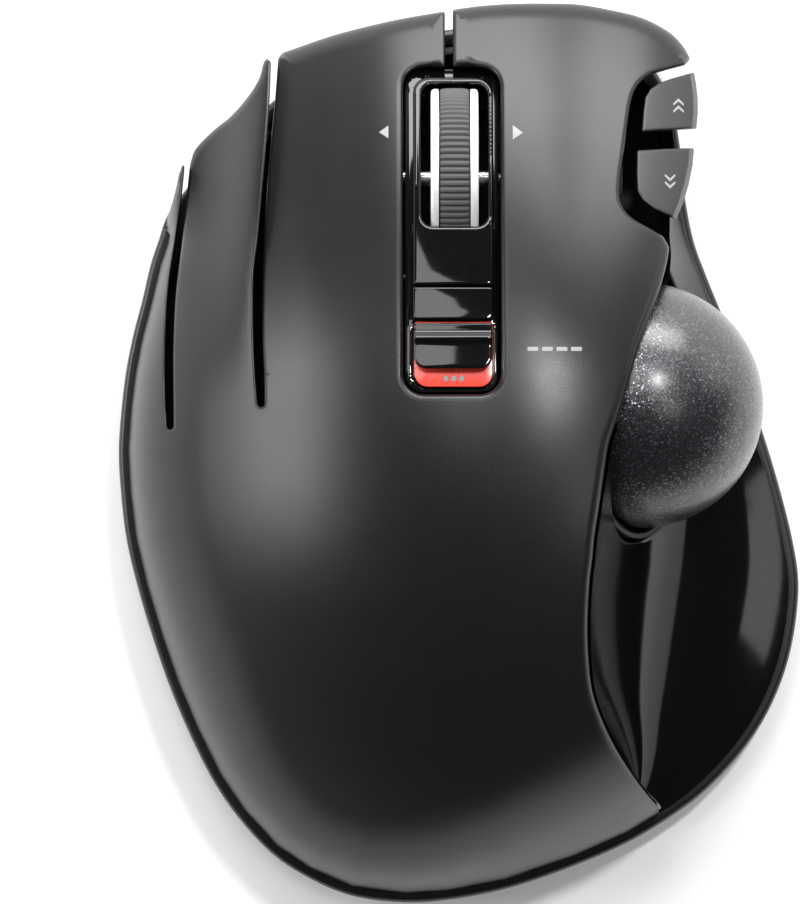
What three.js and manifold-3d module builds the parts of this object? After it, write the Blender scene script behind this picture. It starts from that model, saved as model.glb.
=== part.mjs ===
// Left-handed thumb trackball mouse, about 95 x 126 x 48 mm, built as it comes apart on a bench:
// base case, palm cover with two finger rests, two flexing main buttons, gloss thumb rest, matte side wall,
// tilting and clicking scroll wheel, 34 mm ball in a bowl with three bearings, side keys, speed slider,
// circuit board, switches, one AA cell with its door, and the USB receiver stowed in its pocket.
// Units are millimetres. +Z is up, +Y points the way the fingers point, +X is the thumb side.
// The origin is on the desk plane under the middle of the outline.
import * as THREE from 'three';
import { mergeVertices } from 'three/addons/utils/BufferGeometryUtils.js';
import Module from 'manifold-3d';

const wasm = await Module();
wasm.setup();

// ---------------------------------------------------------------- driving dimensions
const PEAK_Z = 47.9;            // highest point of the palm cover
const CREST_Y = -5;             // where that highest point lies
const FLOOR_Z = 0.8;            // underside of the base, lifted by the feet
const PLATE_T = 1.8;            // base plate thickness
const RIM_Z = 6.0;              // top of the flange that runs round the base
const COVER_FOOT_Z = 6.45;      // lower edge of the palm cover
const RIM_W = 1.4;              // visible width of the flange
const SHELL_T = 2.1;            // wall of the covers
const BALL_R = 17;              // 34 mm ball
const BALL = [25.1, 6.5, 25];
const BALL_GAP_R = 18.9;        // opening in the covers round the ball
const BOWL_R_IN = 17.7, BOWL_R_OUT = 18.5;
const WHEEL = [-0.75, 37.9, 26.5];
const WHEEL_R = 12.5, WHEEL_W = 6.6, TYRE_W = 4.3;
const PCB_Z = 8.9, PCB_T = 1.6;
const CELL = { x: -10, y0: -50, y1: 0.5, z: 11.3, r: 7.2 };

// Outline of the base flange in plan, clockwise from the front left, then the set-back front under the buttons.
const FLANGE = [[-40.9,33.1],[-42.1,29.7],[-43.2,26.4],[-44.4,21.3],[-45.7,16.3],[-46.7,11.2],[-47.3,6.2],[-47.7,0.3],[-47.4,-5.6],[-46.6,-12.3],[-45,-19.1],[-43,-25.8],[-40.7,-32.5],[-37.9,-39.2],[-34.5,-46],[-31.1,-51],[-26.4,-56.1],[-21.6,-59.4],[-15.3,-62.1],[-7.6,-63.1],[-1.3,-62.7],[6.9,-61.1],[16.8,-57.7],[24.2,-54.4],[29.8,-51],[34.2,-47.7],[39.1,-42.6],[42.6,-37.6],[45,-32.5],[46.5,-27.5],[47.4,-21.6],[47.5,-17.4],[46.7,-12.3],[45.5,-7.3],[43.6,-0.6],[40.8,8],[37.1,18.5],[34.6,24.7],[32.8,29.7]];
const FRONT = [[31.5,36.7],[31,42.3],[29.7,48.8],[26.6,54.4],[19.5,58.2],[10.2,59.6],[-1.3,59.2],[-12.5,56.6],[-22.3,52],[-30.7,44.9],[-36.6,38.8]];
// Front edge of the finger rests and of the two main buttons, left to right.
const PINKY_EDGE = [[-41.4,31.3],[-40.6,33.3],[-39.7,36.2],[-39,39.4],[-38.3,40.3]];
const RING_EDGE = [[-37.2,41.8],[-37,42.1],[-34.2,45],[-32,46.7],[-29.5,49.5],[-27.9,52.1],[-27.2,54.6],[-26.7,55]];
const TIP_L = [[-25,55.6],[-22.2,56.6],[-18,58],[-13.8,59.1],[-8.3,60.3],[-2,61.4]];
const TIP_R = [[-0.9,61.6],[2.8,62.1],[7,62.4],[11.9,62.5],[16.7,62.4],[20.9,61.7],[25.1,60.7],[27.8,59.5],[29.9,58.1],[31.5,56],[32.3,54.3]];
// Recess for the side keys, the edge beside the ball, and the seam to the thumb rest.
const NOTCH = [[28.5,53.1],[26.2,52.3],[24.7,50.9],[23.9,49.2],[23.2,45.2],[22.6,41],[22.1,37.1],[22.1,35],[22.8,33.3],[24.1,32.1],[26.2,30.9],[28.1,29.7],[28.9,28.6]];
const EDGE_R = [[28.7,26.4],[27.7,23],[26.3,19],[24.8,15.1],[23.2,9.6],[21.9,5.4],[20.5,1.4],[19.8,-2.5],[19,-7.8],[18.4,-11.7]];
const SEAM = [[18.1,-14.9],[17.8,-17.3],[17.5,-22.6],[17.6,-27.9],[18.2,-32.9],[19.5,-36.8],[21.6,-41.1],[24.1,-45],[26.2,-47.8],[27.6,-49.4]];
// The two slits that part the finger rests: left and right sides, rear to front.
const SLIT1_L = [[-40.7,3.4],[-40.9,7.7],[-41,14.8],[-40.7,21.9],[-40.1,27.2],[-39.2,32.6],[-38.5,38.1],[-38.3,41]];
const SLIT1_R = [[-39.6,3.4],[-39.7,7.7],[-39.8,14.8],[-39.5,21.9],[-38.9,27.2],[-38.3,32.6],[-37.8,38.1],[-37.3,42]];
const SLIT2_L = [[-28.1,6.5],[-28.4,11.4],[-28.6,18.3],[-28.4,25.3],[-28,29.4],[-27.2,38.5],[-26.6,47.6],[-26.4,56]];
const SLIT2_R = [[-26.9,6.5],[-27.1,11.3],[-27.3,14.9],[-27.3,21.8],[-27.1,29.4],[-26.6,38.5],[-25.8,47.9],[-25,56]];
// Recess of the centre console in plan.
const CONSOLE = { x0: -7.9, x1: 5.6, y0: 7.9, y1: 53.4, r: 2.9 };
const STRIP = { x0: -6.6, x1: 4.5, y0: 8.6, y1: 52 };
const WHEEL_HOLE = { x0: -5.4, x1: 3.9, y0: 31.1, y1: 51 };
const SLIDER = { y0: 11.3, y1: 17.7, travel: 2.5 };

// ---------------------------------------------------------------- small geometry helpers
const V = (x, y, z = 0) => new THREE.Vector3(x, y, z);
const spline = (pts, n, closed = false) =>
  new THREE.CatmullRomCurve3(pts.map((p) => V(p[0], p[1], p[2] || 0)), closed, 'centripetal').getSpacedPoints(n).map((p) => [p.x, p.y, p.z]);
const clamp = (x, a, b) => Math.min(b, Math.max(a, x));
const smooth = (a, b, x) => { const t = clamp((x - a) / (b - a), 0, 1); return t * t * (3 - 2 * t); };
const gauss = (t) => Math.exp(-t * t);
const smin = (a, b, k) => { const h = clamp(0.5 + (0.5 * (b - a)) / k, 0, 1); return b + (a - b) * h - k * h * (1 - h); };
const interp = (pts, y) => { // x on a polyline given as rising y
  if (y <= pts[0][1]) return pts[0][0];
  for (let i = 1; i < pts.length; i++) if (y <= pts[i][1]) { const t = (y - pts[i - 1][1]) / (pts[i][1] - pts[i - 1][1]); return pts[i - 1][0] + t * (pts[i][0] - pts[i - 1][0]); }
  return pts[pts.length - 1][0];
};
const distLine = (pts, x, y) => {
  let best = 1e9;
  for (let i = 1; i < pts.length; i++) {
    const [ax, ay] = pts[i - 1], [bx, by] = pts[i], dx = bx - ax, dy = by - ay;
    const t = clamp(((x - ax) * dx + (y - ay) * dy) / (dx * dx + dy * dy || 1), 0, 1);
    best = Math.min(best, Math.hypot(x - ax - t * dx, y - ay - t * dy));
  }
  return best;
};
const inside = (poly, x, y) => {
  let c = false;
  for (let i = 0, j = poly.length - 1; i < poly.length; j = i++) {
    const [xi, yi] = poly[i], [xj, yj] = poly[j];
    if (yi > y !== yj > y && x < ((xj - xi) * (y - yi)) / (yj - yi) + xi) c = !c;
  }
  return c;
};
const area = (p) => p.reduce((s, [x, y], i) => { const [u, v] = p[(i + 1) % p.length]; return s + (x * v - u * y) / 2; }, 0);
const offset = (poly, d) => { // closed polygon moved inwards by d
  const n = poly.length, s = area(poly) > 0 ? 1 : -1;
  return poly.map((p, i) => {
    const a = poly[(i + n - 1) % n], b = poly[(i + 1) % n];
    const tx = b[0] - a[0], ty = b[1] - a[1], l = Math.hypot(tx, ty) || 1;
    return [p[0] - (s * ty * d) / l, p[1] + (s * tx * d) / l];
  });
};
const rect = (x0, x1, y0, y1, r = 0, n = 4) => {
  if (!r) return [[x0, y0], [x1, y0], [x1, y1], [x0, y1]];
  const out = [];
  [[x1 - r, y0 + r, -90], [x1 - r, y1 - r, 0], [x0 + r, y1 - r, 90], [x0 + r, y0 + r, 180]].forEach(([cx, cy, a0]) => {
    for (let i = 0; i <= n; i++) { const a = ((a0 + (90 * i) / n) * Math.PI) / 180; out.push([cx + r * Math.cos(a), cy + r * Math.sin(a)]); }
  });
  return out;
};

const solid = (geometry) => {
  const g = geometry.clone();
  for (const k of Object.keys(g.attributes)) if (k !== 'position') g.deleteAttribute(k);
  const m = mergeVertices(g, 1e-4);
  return new wasm.Manifold(new wasm.Mesh({ numProp: 3, vertProperties: new Float32Array(m.attributes.position.array), triVerts: new Uint32Array(m.index.array) }));
};
const mesh3 = (verts, tris) => {
  const g = new THREE.BufferGeometry();
  g.setAttribute('position', new THREE.BufferAttribute(new Float32Array(verts.flat()), 3));
  g.setIndex(tris.flat());
  return g;
};
const geometryOf = (man) => {
  const m = man.getMesh(), n = m.numProp, v = [];
  for (let i = 0; i < m.numVert; i++) v.push([m.vertProperties[i * n], m.vertProperties[i * n + 1], m.vertProperties[i * n + 2]]);
  const g = mesh3(v, [Array.from(m.triVerts)]);
  g.computeVertexNormals();
  return g;
};
const box = (x0, x1, y0, y1, z0, z1) => solid(new THREE.BoxGeometry(x1 - x0, y1 - y0, z1 - z0).translate((x0 + x1) / 2, (y0 + y1) / 2, (z0 + z1) / 2));
const prism = (poly, z0, z1) => {
  const p = area(poly) > 0 ? poly : poly.slice().reverse();
  return solid(new THREE.ExtrudeGeometry(new THREE.Shape(p.map((q) => new THREE.Vector2(q[0], q[1]))), { depth: z1 - z0, bevelEnabled: false, steps: 1 }).translate(0, 0, z0));
};
const cylZ = (x, y, r, z0, z1, n = 20) => solid(new THREE.CylinderGeometry(r, r, z1 - z0, n).rotateX(Math.PI / 2).translate(x, y, (z0 + z1) / 2));
const cylX = (x0, x1, y, z, r, n = 20) => solid(new THREE.CylinderGeometry(r, r, x1 - x0, n).rotateZ(Math.PI / 2).translate((x0 + x1) / 2, y, z));
const cylY = (x, y0, y1, z, r, n = 20) => solid(new THREE.CylinderGeometry(r, r, y1 - y0, n).translate(x, (y0 + y1) / 2, z));
const ball = (c, r, w = 28, h = 18) => solid(new THREE.SphereGeometry(r, w, h).rotateX(Math.PI / 2).translate(...c));
const latheX = (profile, n, c) => solid(new THREE.LatheGeometry(profile.map((p) => new THREE.Vector2(p[0], p[1])), n).rotateZ(-Math.PI / 2).translate(...c));

// Delaunay triangles of points in plan (Bowyer-Watson).
function delaunay(pts) {
  const big = 1e4, all = pts.concat([[-big, -big], [big, -big], [0, big]]), n = pts.length;
  const circle = (a, b, c) => {
    const [ax, ay] = all[a], [bx, by] = all[b], [cx, cy] = all[c];
    const d = 2 * (ax * (by - cy) + bx * (cy - ay) + cx * (ay - by));
    const a2 = ax * ax + ay * ay, b2 = bx * bx + by * by, c2 = cx * cx + cy * cy;
    const ux = (a2 * (by - cy) + b2 * (cy - ay) + c2 * (ay - by)) / d, uy = (a2 * (cx - bx) + b2 * (ax - cx) + c2 * (bx - ax)) / d;
    return [a, b, c, ux, uy, (ax - ux) ** 2 + (ay - uy) ** 2];
  };
  let tris = [circle(n, n + 1, n + 2)];
  for (let i = 0; i < n; i++) {
    const [x, y] = all[i], edges = new Map();
    tris = tris.filter((t) => {
      if ((x - t[3]) ** 2 + (y - t[4]) ** 2 > t[5] * (1 + 1e-12)) return true;
      [[t[0], t[1]], [t[1], t[2]], [t[2], t[0]]].forEach(([p, q]) => { const k = p < q ? p + '_' + q : q + '_' + p; edges.set(k, edges.has(k) ? null : [p, q]); });
      return false;
    });
    for (const e of edges.values()) if (e) tris.push(circle(e[0], e[1], i));
  }
  return tris.filter((t) => t[0] < n && t[1] < n && t[2] < n).map((t) => t.slice(0, 3));
}

// Closed solid over a plan outline, between a lower and an upper height.
function heightSolid(outline, top, bottom, rings = [1, 3, 6.5], step = 7) {
  const pts = outline.map((p) => [p[0], p[1]]), nb = pts.length;
  const far = (x, y) => distLine([...outline, outline[0]], x, y);
  rings.forEach((r) => offset(outline, r).forEach((p, i) => {
    if (inside(outline, p[0], p[1]) && far(p[0], p[1]) > r * 0.93 && pts.slice(nb).every((q) => Math.hypot(q[0] - p[0], q[1] - p[1]) > 0.55 * Math.min(r + 0.6, 3))) pts.push(p);
  }));
  const xs = outline.map((p) => p[0]), ys = outline.map((p) => p[1]), last = rings.length ? rings[rings.length - 1] : 0;
  for (let y = Math.min(...ys), k = 0; y < Math.max(...ys); y += step * 0.87, k++)
    for (let x = Math.min(...xs) + (k % 2 ? step / 2 : 0); x < Math.max(...xs); x += step)
      if (inside(outline, x, y) && far(x, y) > last + step * 0.45) pts.push([x + 0.0137 * Math.sin(x * 7 + y), y + 0.0137 * Math.cos(y * 5)]);
  const tris = delaunay(pts).filter(([a, b, c]) => {
    const cx = (pts[a][0] + pts[b][0] + pts[c][0]) / 3, cy = (pts[a][1] + pts[b][1] + pts[c][1]) / 3;
    return inside(outline, cx, cy);
  }).map(([a, b, c]) => ((pts[b][0] - pts[a][0]) * (pts[c][1] - pts[a][1]) - (pts[b][1] - pts[a][1]) * (pts[c][0] - pts[a][0]) > 0 ? [a, b, c] : [a, c, b]));
  const n = pts.length, verts = pts.map(([x, y]) => [x, y, top(x, y)]).concat(pts.map(([x, y]) => [x, y, bottom(x, y)])), out = [];
  const seen = new Map();
  tris.forEach(([a, b, c]) => {
    out.push([a, b, c], [n + a, n + c, n + b]);
    [[a, b], [b, c], [c, a]].forEach(([p, q]) => { const k = Math.min(p, q) + '_' + Math.max(p, q); seen.set(k, seen.has(k) ? null : [p, q]); });
  });
  for (const e of seen.values()) if (e) out.push([e[0], n + e[0], n + e[1]], [e[0], n + e[1], e[1]]);
  return solid(mesh3(verts, out));
}

// Closed solid between two grids of points, outer and inner, each rows x columns.
function gridSolid(outer, inner, flip = false) {
  const R = outer.length, C = outer[0].length, verts = [...outer.flat(), ...inner.flat()], tris = [];
  const o = (r, c) => r * C + c, i = (r, c) => R * C + r * C + c;
  for (let r = 0; r < R - 1; r++) for (let c = 0; c < C - 1; c++) {
    tris.push([o(r, c), o(r, c + 1), o(r + 1, c + 1)], [o(r, c), o(r + 1, c + 1), o(r + 1, c)]);
    tris.push([i(r, c), i(r + 1, c + 1), i(r, c + 1)], [i(r, c), i(r + 1, c), i(r + 1, c + 1)]);
  }
  const wall = (a, b) => tris.push([a[0], b[0], b[1]], [a[0], b[1], a[1]]);
  for (let c = 0; c < C - 1; c++) { wall([o(0, c + 1), i(0, c + 1)], [o(0, c), i(0, c)]); wall([o(R - 1, c), i(R - 1, c)], [o(R - 1, c + 1), i(R - 1, c + 1)]); }
  for (let r = 0; r < R - 1; r++) { wall([o(r, 0), i(r, 0)], [o(r + 1, 0), i(r + 1, 0)]); wall([o(r + 1, C - 1), i(r + 1, C - 1)], [o(r, C - 1), i(r, C - 1)]); }
  return solid(mesh3(verts, flip ? tris.map(([a, b, c]) => [a, c, b]) : tris));
}

// ---------------------------------------------------------------- the sculpted top surface
const flange = spline([...FLANGE, ...FRONT], 120, true).slice(0, 120);
const WALL_LINE = [[-44.5, 62], [-43.6, 48], [-43, 40], [-42.6, 34], ...FLANGE.slice(1, 32), [50, 0], [55, 60]];
const slit1 = SLIT1_L.map((p, i) => [(p[0] + SLIT1_R[i][0]) / 2, (p[1] + SLIT1_R[i][1]) / 2]);
const slit2 = SLIT2_L.map((p, i) => [(p[0] + SLIT2_R[i][0]) / 2, (p[1] + SLIT2_R[i][1]) / 2]);

function crown(x, y) {
  const t = y - CREST_Y, u = x - (7 - 0.04 * y);
  let z = PEAK_Z - 0.0068 * t * t + 9.2e-6 * t * t * t - (0.01157 * u * u + 2.14e-5 * u * u * u);
  z -= 1.3 * gauss((x - 18) / 6.5) * smooth(10, 42, y) + 0.7 * gauss((x + 17) / 6) * smooth(10, 40, y);
  const a2 = smooth(6, 36, y), a1 = smooth(3, 30, y), s2 = interp(slit2, y), s1 = interp(slit1, y);
  z += x < s2 ? a2 * (1.9 * gauss((x - s2 + 1.2) / 4) - 1.3 * gauss((x - s2 + 8) / 4.2)) : -0.9 * a2 * gauss((x - s2 - 1) / 5);
  z += x < s1 ? 1.3 * a1 * gauss((x - s1 + 0.8) / 2.6) : x < s2 ? -0.9 * a1 * gauss((x - s1 - 0.5) / 4) : 0;
  return z;
}
const wallRise = (d) => COVER_FOOT_Z + 7.2 * Math.pow(Math.max(d, 0), 0.6);
const edgeDist = (x, y) => distLine(WALL_LINE, x, y) - RIM_W;
const topZ = (x, y) => smin(crown(x, y), wallRise(edgeDist(x, y)), 8);
const innerZ = (x, y) => Math.min(topZ(x, y) - 0.05, Math.max(COVER_FOOT_Z, smin(crown(x, y) - SHELL_T, wallRise(edgeDist(x, y) - SHELL_T), 8)));

// ---------------------------------------------------------------- materials
const mat = (color, roughness, metalness = 0) => new THREE.MeshStandardMaterial({ color, roughness, metalness });
const M = {
  matte: mat(0x2e2f31, 0.55), gloss: mat(0x0b0b0c, 0.08), base: mat(0x1c1c1d, 0.4), ball: mat(0x26262a, 0.12, 0.2),
  chrome: mat(0xdddddd, 0.12, 1), rubber: mat(0x2b2c2e, 0.75), red: mat(0xe4402f, 0.35), pcb: mat(0x1f5a34, 0.5),
  ceramic: mat(0xece9e2, 0.2), steel: mat(0xb9bbbd, 0.35, 1), black: mat(0x141414, 0.5), ptfe: mat(0xd7d7d2, 0.5),
  label: mat(0x8c6f2d, 0.35, 0.4), white: mat(0xe8e6df, 0.5), clear: mat(0xcfd6dc, 0.05), gold: mat(0xc9a24a, 0.3, 1),
};
const root = new THREE.Group();
const add = (name, man, material, parent = root) => {
  const m = new THREE.Mesh(geometryOf(man), material);
  m.name = name;
  parent.add(m);
  return m;
};
const union = (first, ...rest) => rest.reduce((a, b) => a.add(b), first);

// ---------------------------------------------------------------- base case
const plateTop = FLOOR_Z + PLATE_T;
const SCREWS = [[-33, 12], [-25.5, -42], [12, -51], [26.5, -30]];
const DOOR = { x0: -19.4, x1: -0.6, y0: -53, y1: 4.2 };
const POCKET = { x0: 3.2, x1: 18.4, y0: -44.5, y1: -23.5 };
const BASE_R = spline([...FLANGE, ...FRONT], 64, true).slice(0, 64);
let base = union(
  prism(BASE_R, FLOOR_Z, plateTop),
  prism(BASE_R, FLOOR_Z + 0.5, RIM_Z).subtract(prism(offset(BASE_R, 3.6), -1, 20)),
);
// front wall under the buttons, set back from their tips
const frontRing = prism(offset(BASE_R, 0.6), RIM_Z - 1, 10.4).subtract(prism(offset(BASE_R, 2.4), 0, 40)).intersect(prism([[-35.5, 41], [22.6, 41], [22.6, 70], [-35.5, 70]], 0, 40));
base = base.add(frontRing);
SCREWS.forEach(([x, y]) => { base = base.add(cylZ(x, y, 4, FLOOR_Z, 6.6, 16)); });
base = base.add(box(DOOR.x0 - 1.4, DOOR.x1 + 1.4, DOOR.y0 - 1.4, DOOR.y1 + 1.4, FLOOR_Z, 9).subtract(box(DOOR.x0, DOOR.x1, DOOR.y0, DOOR.y1, 0, 20)));
base = base.add(box(POCKET.x0 - 1.2, POCKET.x1 + 1.2, POCKET.y0 - 1.2, POCKET.y1 + 1.2, FLOOR_Z, 8.6));
base = base.add(cylZ(BALL[0], BALL[1], 8, FLOOR_Z, 6.9, 20));
const POSTS = [[-24.5, 9.5], [-24.5, 38], [2, 9.5], [16, 46.5]];
POSTS.forEach(([x, y]) => { base = base.add(cylZ(x, y, 2.4, FLOOR_Z, PCB_Z - 0.3, 12)); });
base = base.subtract(box(DOOR.x0, DOOR.x1, DOOR.y0, DOOR.y1, -1, plateTop + 0.2));
base = base.subtract(box(POCKET.x0, POCKET.x1, POCKET.y0, POCKET.y1, -1, 7.5));
base = base.subtract(cylZ(BALL[0], BALL[1], 6, -1, 12, 20));
base = base.add(box(WHEEL[0] - 2.6, WHEEL[0] + 2.6, 50.2, 52.2, FLOOR_Z, 16.4).subtract(cylY(WHEEL[0], 49, 53, 14.2, 1.4, 12)));
SCREWS.forEach(([x, y]) => { base = base.subtract(cylZ(x, y, 2.9, -1, 3.4, 16)).subtract(cylZ(x, y, 1.75, 0, 12, 12)); });
base = base.subtract(box(-33.2, -28.8, -18, -6, -1, 5)); // power switch slot
add('base_case', base, M.base);

// feet
const FEET = { foot_front_left: [-27, 35, 6, 2.6, -35], foot_front_right: [19, 48.5, 6.5, 2.4, 8], foot_left: [-42.2, -4, 2.2, 7, 0], foot_rear: [-6, -58, 7.5, 2.3, 0], foot_right: [42.3, -20, 2.2, 7.5, 2] };
for (const [name, [x, y, a, b, turn]] of Object.entries(FEET)) {
  const p = Array.from({ length: 18 }, (_, i) => { const t = (i / 18) * 2 * Math.PI, c = Math.cos(t), s = Math.sin(t); return [a * Math.sign(c) * Math.abs(c) ** 0.75, b * Math.sign(s) * Math.abs(s) ** 0.75]; });
  const r = (turn * Math.PI) / 180;
  add(name, prism(p.map(([u, v]) => [x + u * Math.cos(r) - v * Math.sin(r), y + u * Math.sin(r) + v * Math.cos(r)]), 0, FLOOR_Z - 0.1), M.ptfe);
}

// ---------------------------------------------------------------- palm cover and main buttons
const rimLine = (() => { // inner edge of the flange from the seam's end round the rear to the front left
  const f = spline(FLANGE, 170).map((p) => [p[0], p[1]]);
  const line = f.map((p, i) => { const a = f[Math.max(i - 1, 0)], b = f[Math.min(i + 1, f.length - 1)], tx = b[0] - a[0], ty = b[1] - a[1], l = Math.hypot(tx, ty); return [p[0] - (ty * RIM_W) / l, p[1] + (tx * RIM_W) / l]; });
  return line;
})();
const rearPart = rimLine.filter((p) => (p[0] < 27.6 || p[1] > 0) && !(p[0] > 0 && p[1] > -45) && p[1] < 30.8).reverse().filter((_, i) => i % 2 === 0);
const thin = (pts, n) => spline(pts, n).map((p) => [p[0], p[1]]);
const coverOutline = [
  ...thin(PINKY_EDGE, 4), ...thin(RING_EDGE, 9), ...thin(TIP_L, 8), ...thin(TIP_R, 14), ...thin(NOTCH, 16), ...thin([...EDGE_R, ...SEAM], 26), ...rearPart,
];
let cover = heightSolid(coverOutline, topZ, innerZ, [1, 4], 8.5);
cover = cover.subtract(prism([...SLIT1_L, ...SLIT1_R.slice().reverse()], 0, 60)).subtract(prism([...SLIT2_L, ...SLIT2_R.slice().reverse()], 0, 60));
cover = cover.subtract(prism(rect(CONSOLE.x0, CONSOLE.x1, CONSOLE.y0, CONSOLE.y1, CONSOLE.r, 4), 0, 60)).subtract(box(-2, -0.9, 50, 70, 0, 60));
const LEFT_ZONE = [[-27.5, 9], ...slit2.filter((p) => p[1] > 10), [-25.7, 70], [-1.45, 70], [-1.45, 9]];
const RIGHT_ZONE = [[-1.45, 10], [5.6, 10], [14, 12.5], [28.9, 27.4], [60, 27.4], [60, 70], [-1.45, 70]];
const leftCut = [[-27.5, 8.65], ...slit2.filter((p) => p[1] > 10), [-25.7, 70], [-1.45, 70], [-1.45, 8.65]];
const rightCut = [[-1.45, 9.6], [5.7, 9.6], [14.2, 12.1], [29.2, 27], [60, 27], [60, 70], [-1.45, 70]];
const biggest = (m) => m.decompose().sort((a, b) => b.volume() - a.volume())[0];
const leftShell = biggest(cover.intersect(prism(LEFT_ZONE, 0, 60)));
const rightShell = biggest(cover.intersect(prism(RIGHT_ZONE, 0, 60)));
let palm = biggest(cover.subtract(prism(leftCut, 0, 60)).subtract(prism(rightCut, 0, 60)));
const bossTop = (x, y) => Math.min(...Array.from({ length: 12 }, (_, i) => innerZ(x + 3.2 * Math.cos((i * Math.PI) / 6), y + 3.2 * Math.sin((i * Math.PI) / 6)))) + 0.6;
SCREWS.slice(0, 3).forEach(([x, y]) => { palm = palm.add(cylZ(x, y, 3.2, 7.1, bossTop(x, y), 14).subtract(cylZ(x, y, 1.65, 6, 12.5, 12))); });
palm = palm.subtract(ball(BALL, BALL_R + 0.6, 24, 16));
add('palm_cover', palm, M.matte);
const SWITCH_L = [-14.5, 43.5], SWITCH_R = [13, 45.5], SWITCH_TOP = 17.3;
add('left_main_button', leftShell.add(box(SWITCH_L[0] - 1.6, SWITCH_L[0] + 1.6, SWITCH_L[1] - 1.2, SWITCH_L[1] + 1.2, SWITCH_TOP + 0.75, innerZ(...SWITCH_L) + 0.7)), M.matte);
add('right_main_button', rightShell.subtract(ball(BALL, BALL_R + 0.6, 24, 16)).add(box(SWITCH_R[0] - 1.6, SWITCH_R[0] + 1.6, SWITCH_R[1] - 1.2, SWITCH_R[1] + 1.2, SWITCH_TOP + 0.75, innerZ(...SWITCH_R) + 0.7)), M.matte);

// ---------------------------------------------------------------- thumb rest and side wall
const lerp = (a, b, t) => a + (b - a) * t;
const seamLine = spline([[22.6, 7.6], [21.9, 5.4], [20.5, 1.4], [19.8, -2.5], [19, -7.8], [18.4, -11.7], ...SEAM].map((p) => [p[0] + 0.5, p[1] - 0.1]), 22);
const footLine = spline([[39.6, 7.4], ...FLANGE.slice(22, 35).reverse().map((p) => [p[0], p[1]])].map((p) => [p[0], p[1]]), 60);
const footInner = (() => { const f = footLine; return f.map((p, i) => { const a = f[Math.max(i - 1, 0)], b = f[Math.min(i + 1, f.length - 1)], tx = b[0] - a[0], ty = b[1] - a[1], l = Math.hypot(tx, ty) || 1; return [p[0] + (ty * (RIM_W + 0.3)) / l, p[1] - (tx * (RIM_W + 0.3)) / l]; }); })();
const footAt = (t) => { const f = footInner, k = t * (f.length - 1), i = Math.min(Math.floor(k), f.length - 2); return [lerp(f[i][0], f[i + 1][0], k - i), lerp(f[i][1], f[i + 1][1], k - i)]; };
const restFall = (u) => (Math.exp(-3.67 * u) - Math.exp(-3.67)) / (1 - Math.exp(-3.67));
const restOuter = [], restInner = [];
seamLine.forEach((s, r) => {
  const t = r / (seamLine.length - 1), f = footAt(t * 0.985), zs = topZ(s[0] - 0.5, s[1]) - 2.6, row = [], rin = [];
  for (let c = 0; c <= 10; c++) {
    const u = c / 10, e = u * (0.45 + 0.55 * u);
    const x = lerp(s[0], f[0], e), y = lerp(s[1], f[1], e), z = COVER_FOOT_Z + 0.15 + (zs - COVER_FOOT_Z - 0.15) * restFall(e);
    row.push([x, y, z]);
  }
  restOuter.push(row);
});
restOuter.forEach((row, r) => restInner.push(row.map((p, c) => {
  const a = restOuter[Math.max(r - 1, 0)][c], b = restOuter[Math.min(r + 1, restOuter.length - 1)][c], l = row[Math.max(c - 1, 0)], m = row[Math.min(c + 1, row.length - 1)];
  const n = V(m[0] - l[0], m[1] - l[1], m[2] - l[2]).cross(V(b[0] - a[0], b[1] - a[1], b[2] - a[2])).normalize();
  if (n.z < 0) n.negate();
  const t = Math.min(1.6, c === 0 ? 0.25 : c === 1 ? 0.9 : 1.6, 0.25 + Math.hypot(p[0] - restOuter[r][10][0], p[1] - restOuter[r][10][1]) * 0.9, r > restOuter.length - 3 ? 0.6 : 9);
  return [p[0] - n.x * t, p[1] - n.y * t, Math.max(p[2] - n.z * t, COVER_FOOT_Z - 0.1)];
})));
let rest = gridSolid(restOuter, restInner, false);
if (rest.volume() < 0) rest = gridSolid(restOuter, restInner, true);
rest = rest.subtract(ball(BALL, BALL_GAP_R, 28, 18));
rest = biggest(rest.subtract(prism([[10, 20], [60, 20], [60, 8.1], [10, 8.1]], 0, 60)));
rest = rest.add(cylZ(SCREWS[3][0], SCREWS[3][1], 3, 7.1, 10.6, 14).subtract(cylZ(SCREWS[3][0], SCREWS[3][1], 1.65, 6, 9.9, 12)));
add('thumb_rest', rest, M.gloss);

const WALL_TOP = [[24.5, 8.6, 26], [26.5, 14, 34], [27.9, 19, 34.5], [28.7, 23, 33.5], [29.2, 27, 30.5], [29.1, 30, 26.2], [29.2, 33, 24.4], [29.7, 38, 21.6], [29.8, 43, 18.5], [28.6, 48.5, 15.3], [25.2, 52.3, 13.1]];
const WALL_FOOT = [[39.4, 8.6], [37.2, 14.5], [35.8, 18.6], [34.4, 22.2], [33.2, 25.4], [32, 28.6], [31, 32], [30.1, 37], [29.6, 42], [28, 47.8], [24.7, 51.6]];
const wallTop = spline(WALL_TOP, 18), wallFoot = spline(WALL_FOOT, 18);
const wOut = [], wIn = [];
wallTop.forEach((t, r) => {
  const f = wallFoot[r], ro = [], ri = [];
  for (let c = 0; c <= 6; c++) {
    const u = c / 6, e = u * u * (0.55 + 0.45 * u), fall = u;
    ro.push([lerp(t[0], f[0], e), lerp(t[1], f[1], e), lerp(t[2], COVER_FOOT_Z + 0.1, fall)]);
  }
  wOut.push(ro);
});
wOut.forEach((row, r) => wIn.push(row.map((p, c) => {
  const a = wOut[Math.max(r - 1, 0)][c], b = wOut[Math.min(r + 1, wOut.length - 1)][c], tx = b[0] - a[0], ty = b[1] - a[1], l = Math.hypot(tx, ty);
  return [p[0] - (ty / l) * 1.5, p[1] + (tx / l) * 1.5, p[2]];
})));
let wall = gridSolid(wOut, wIn, false);
if (wall.volume() < 0) wall = gridSolid(wOut, wIn, true);
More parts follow.
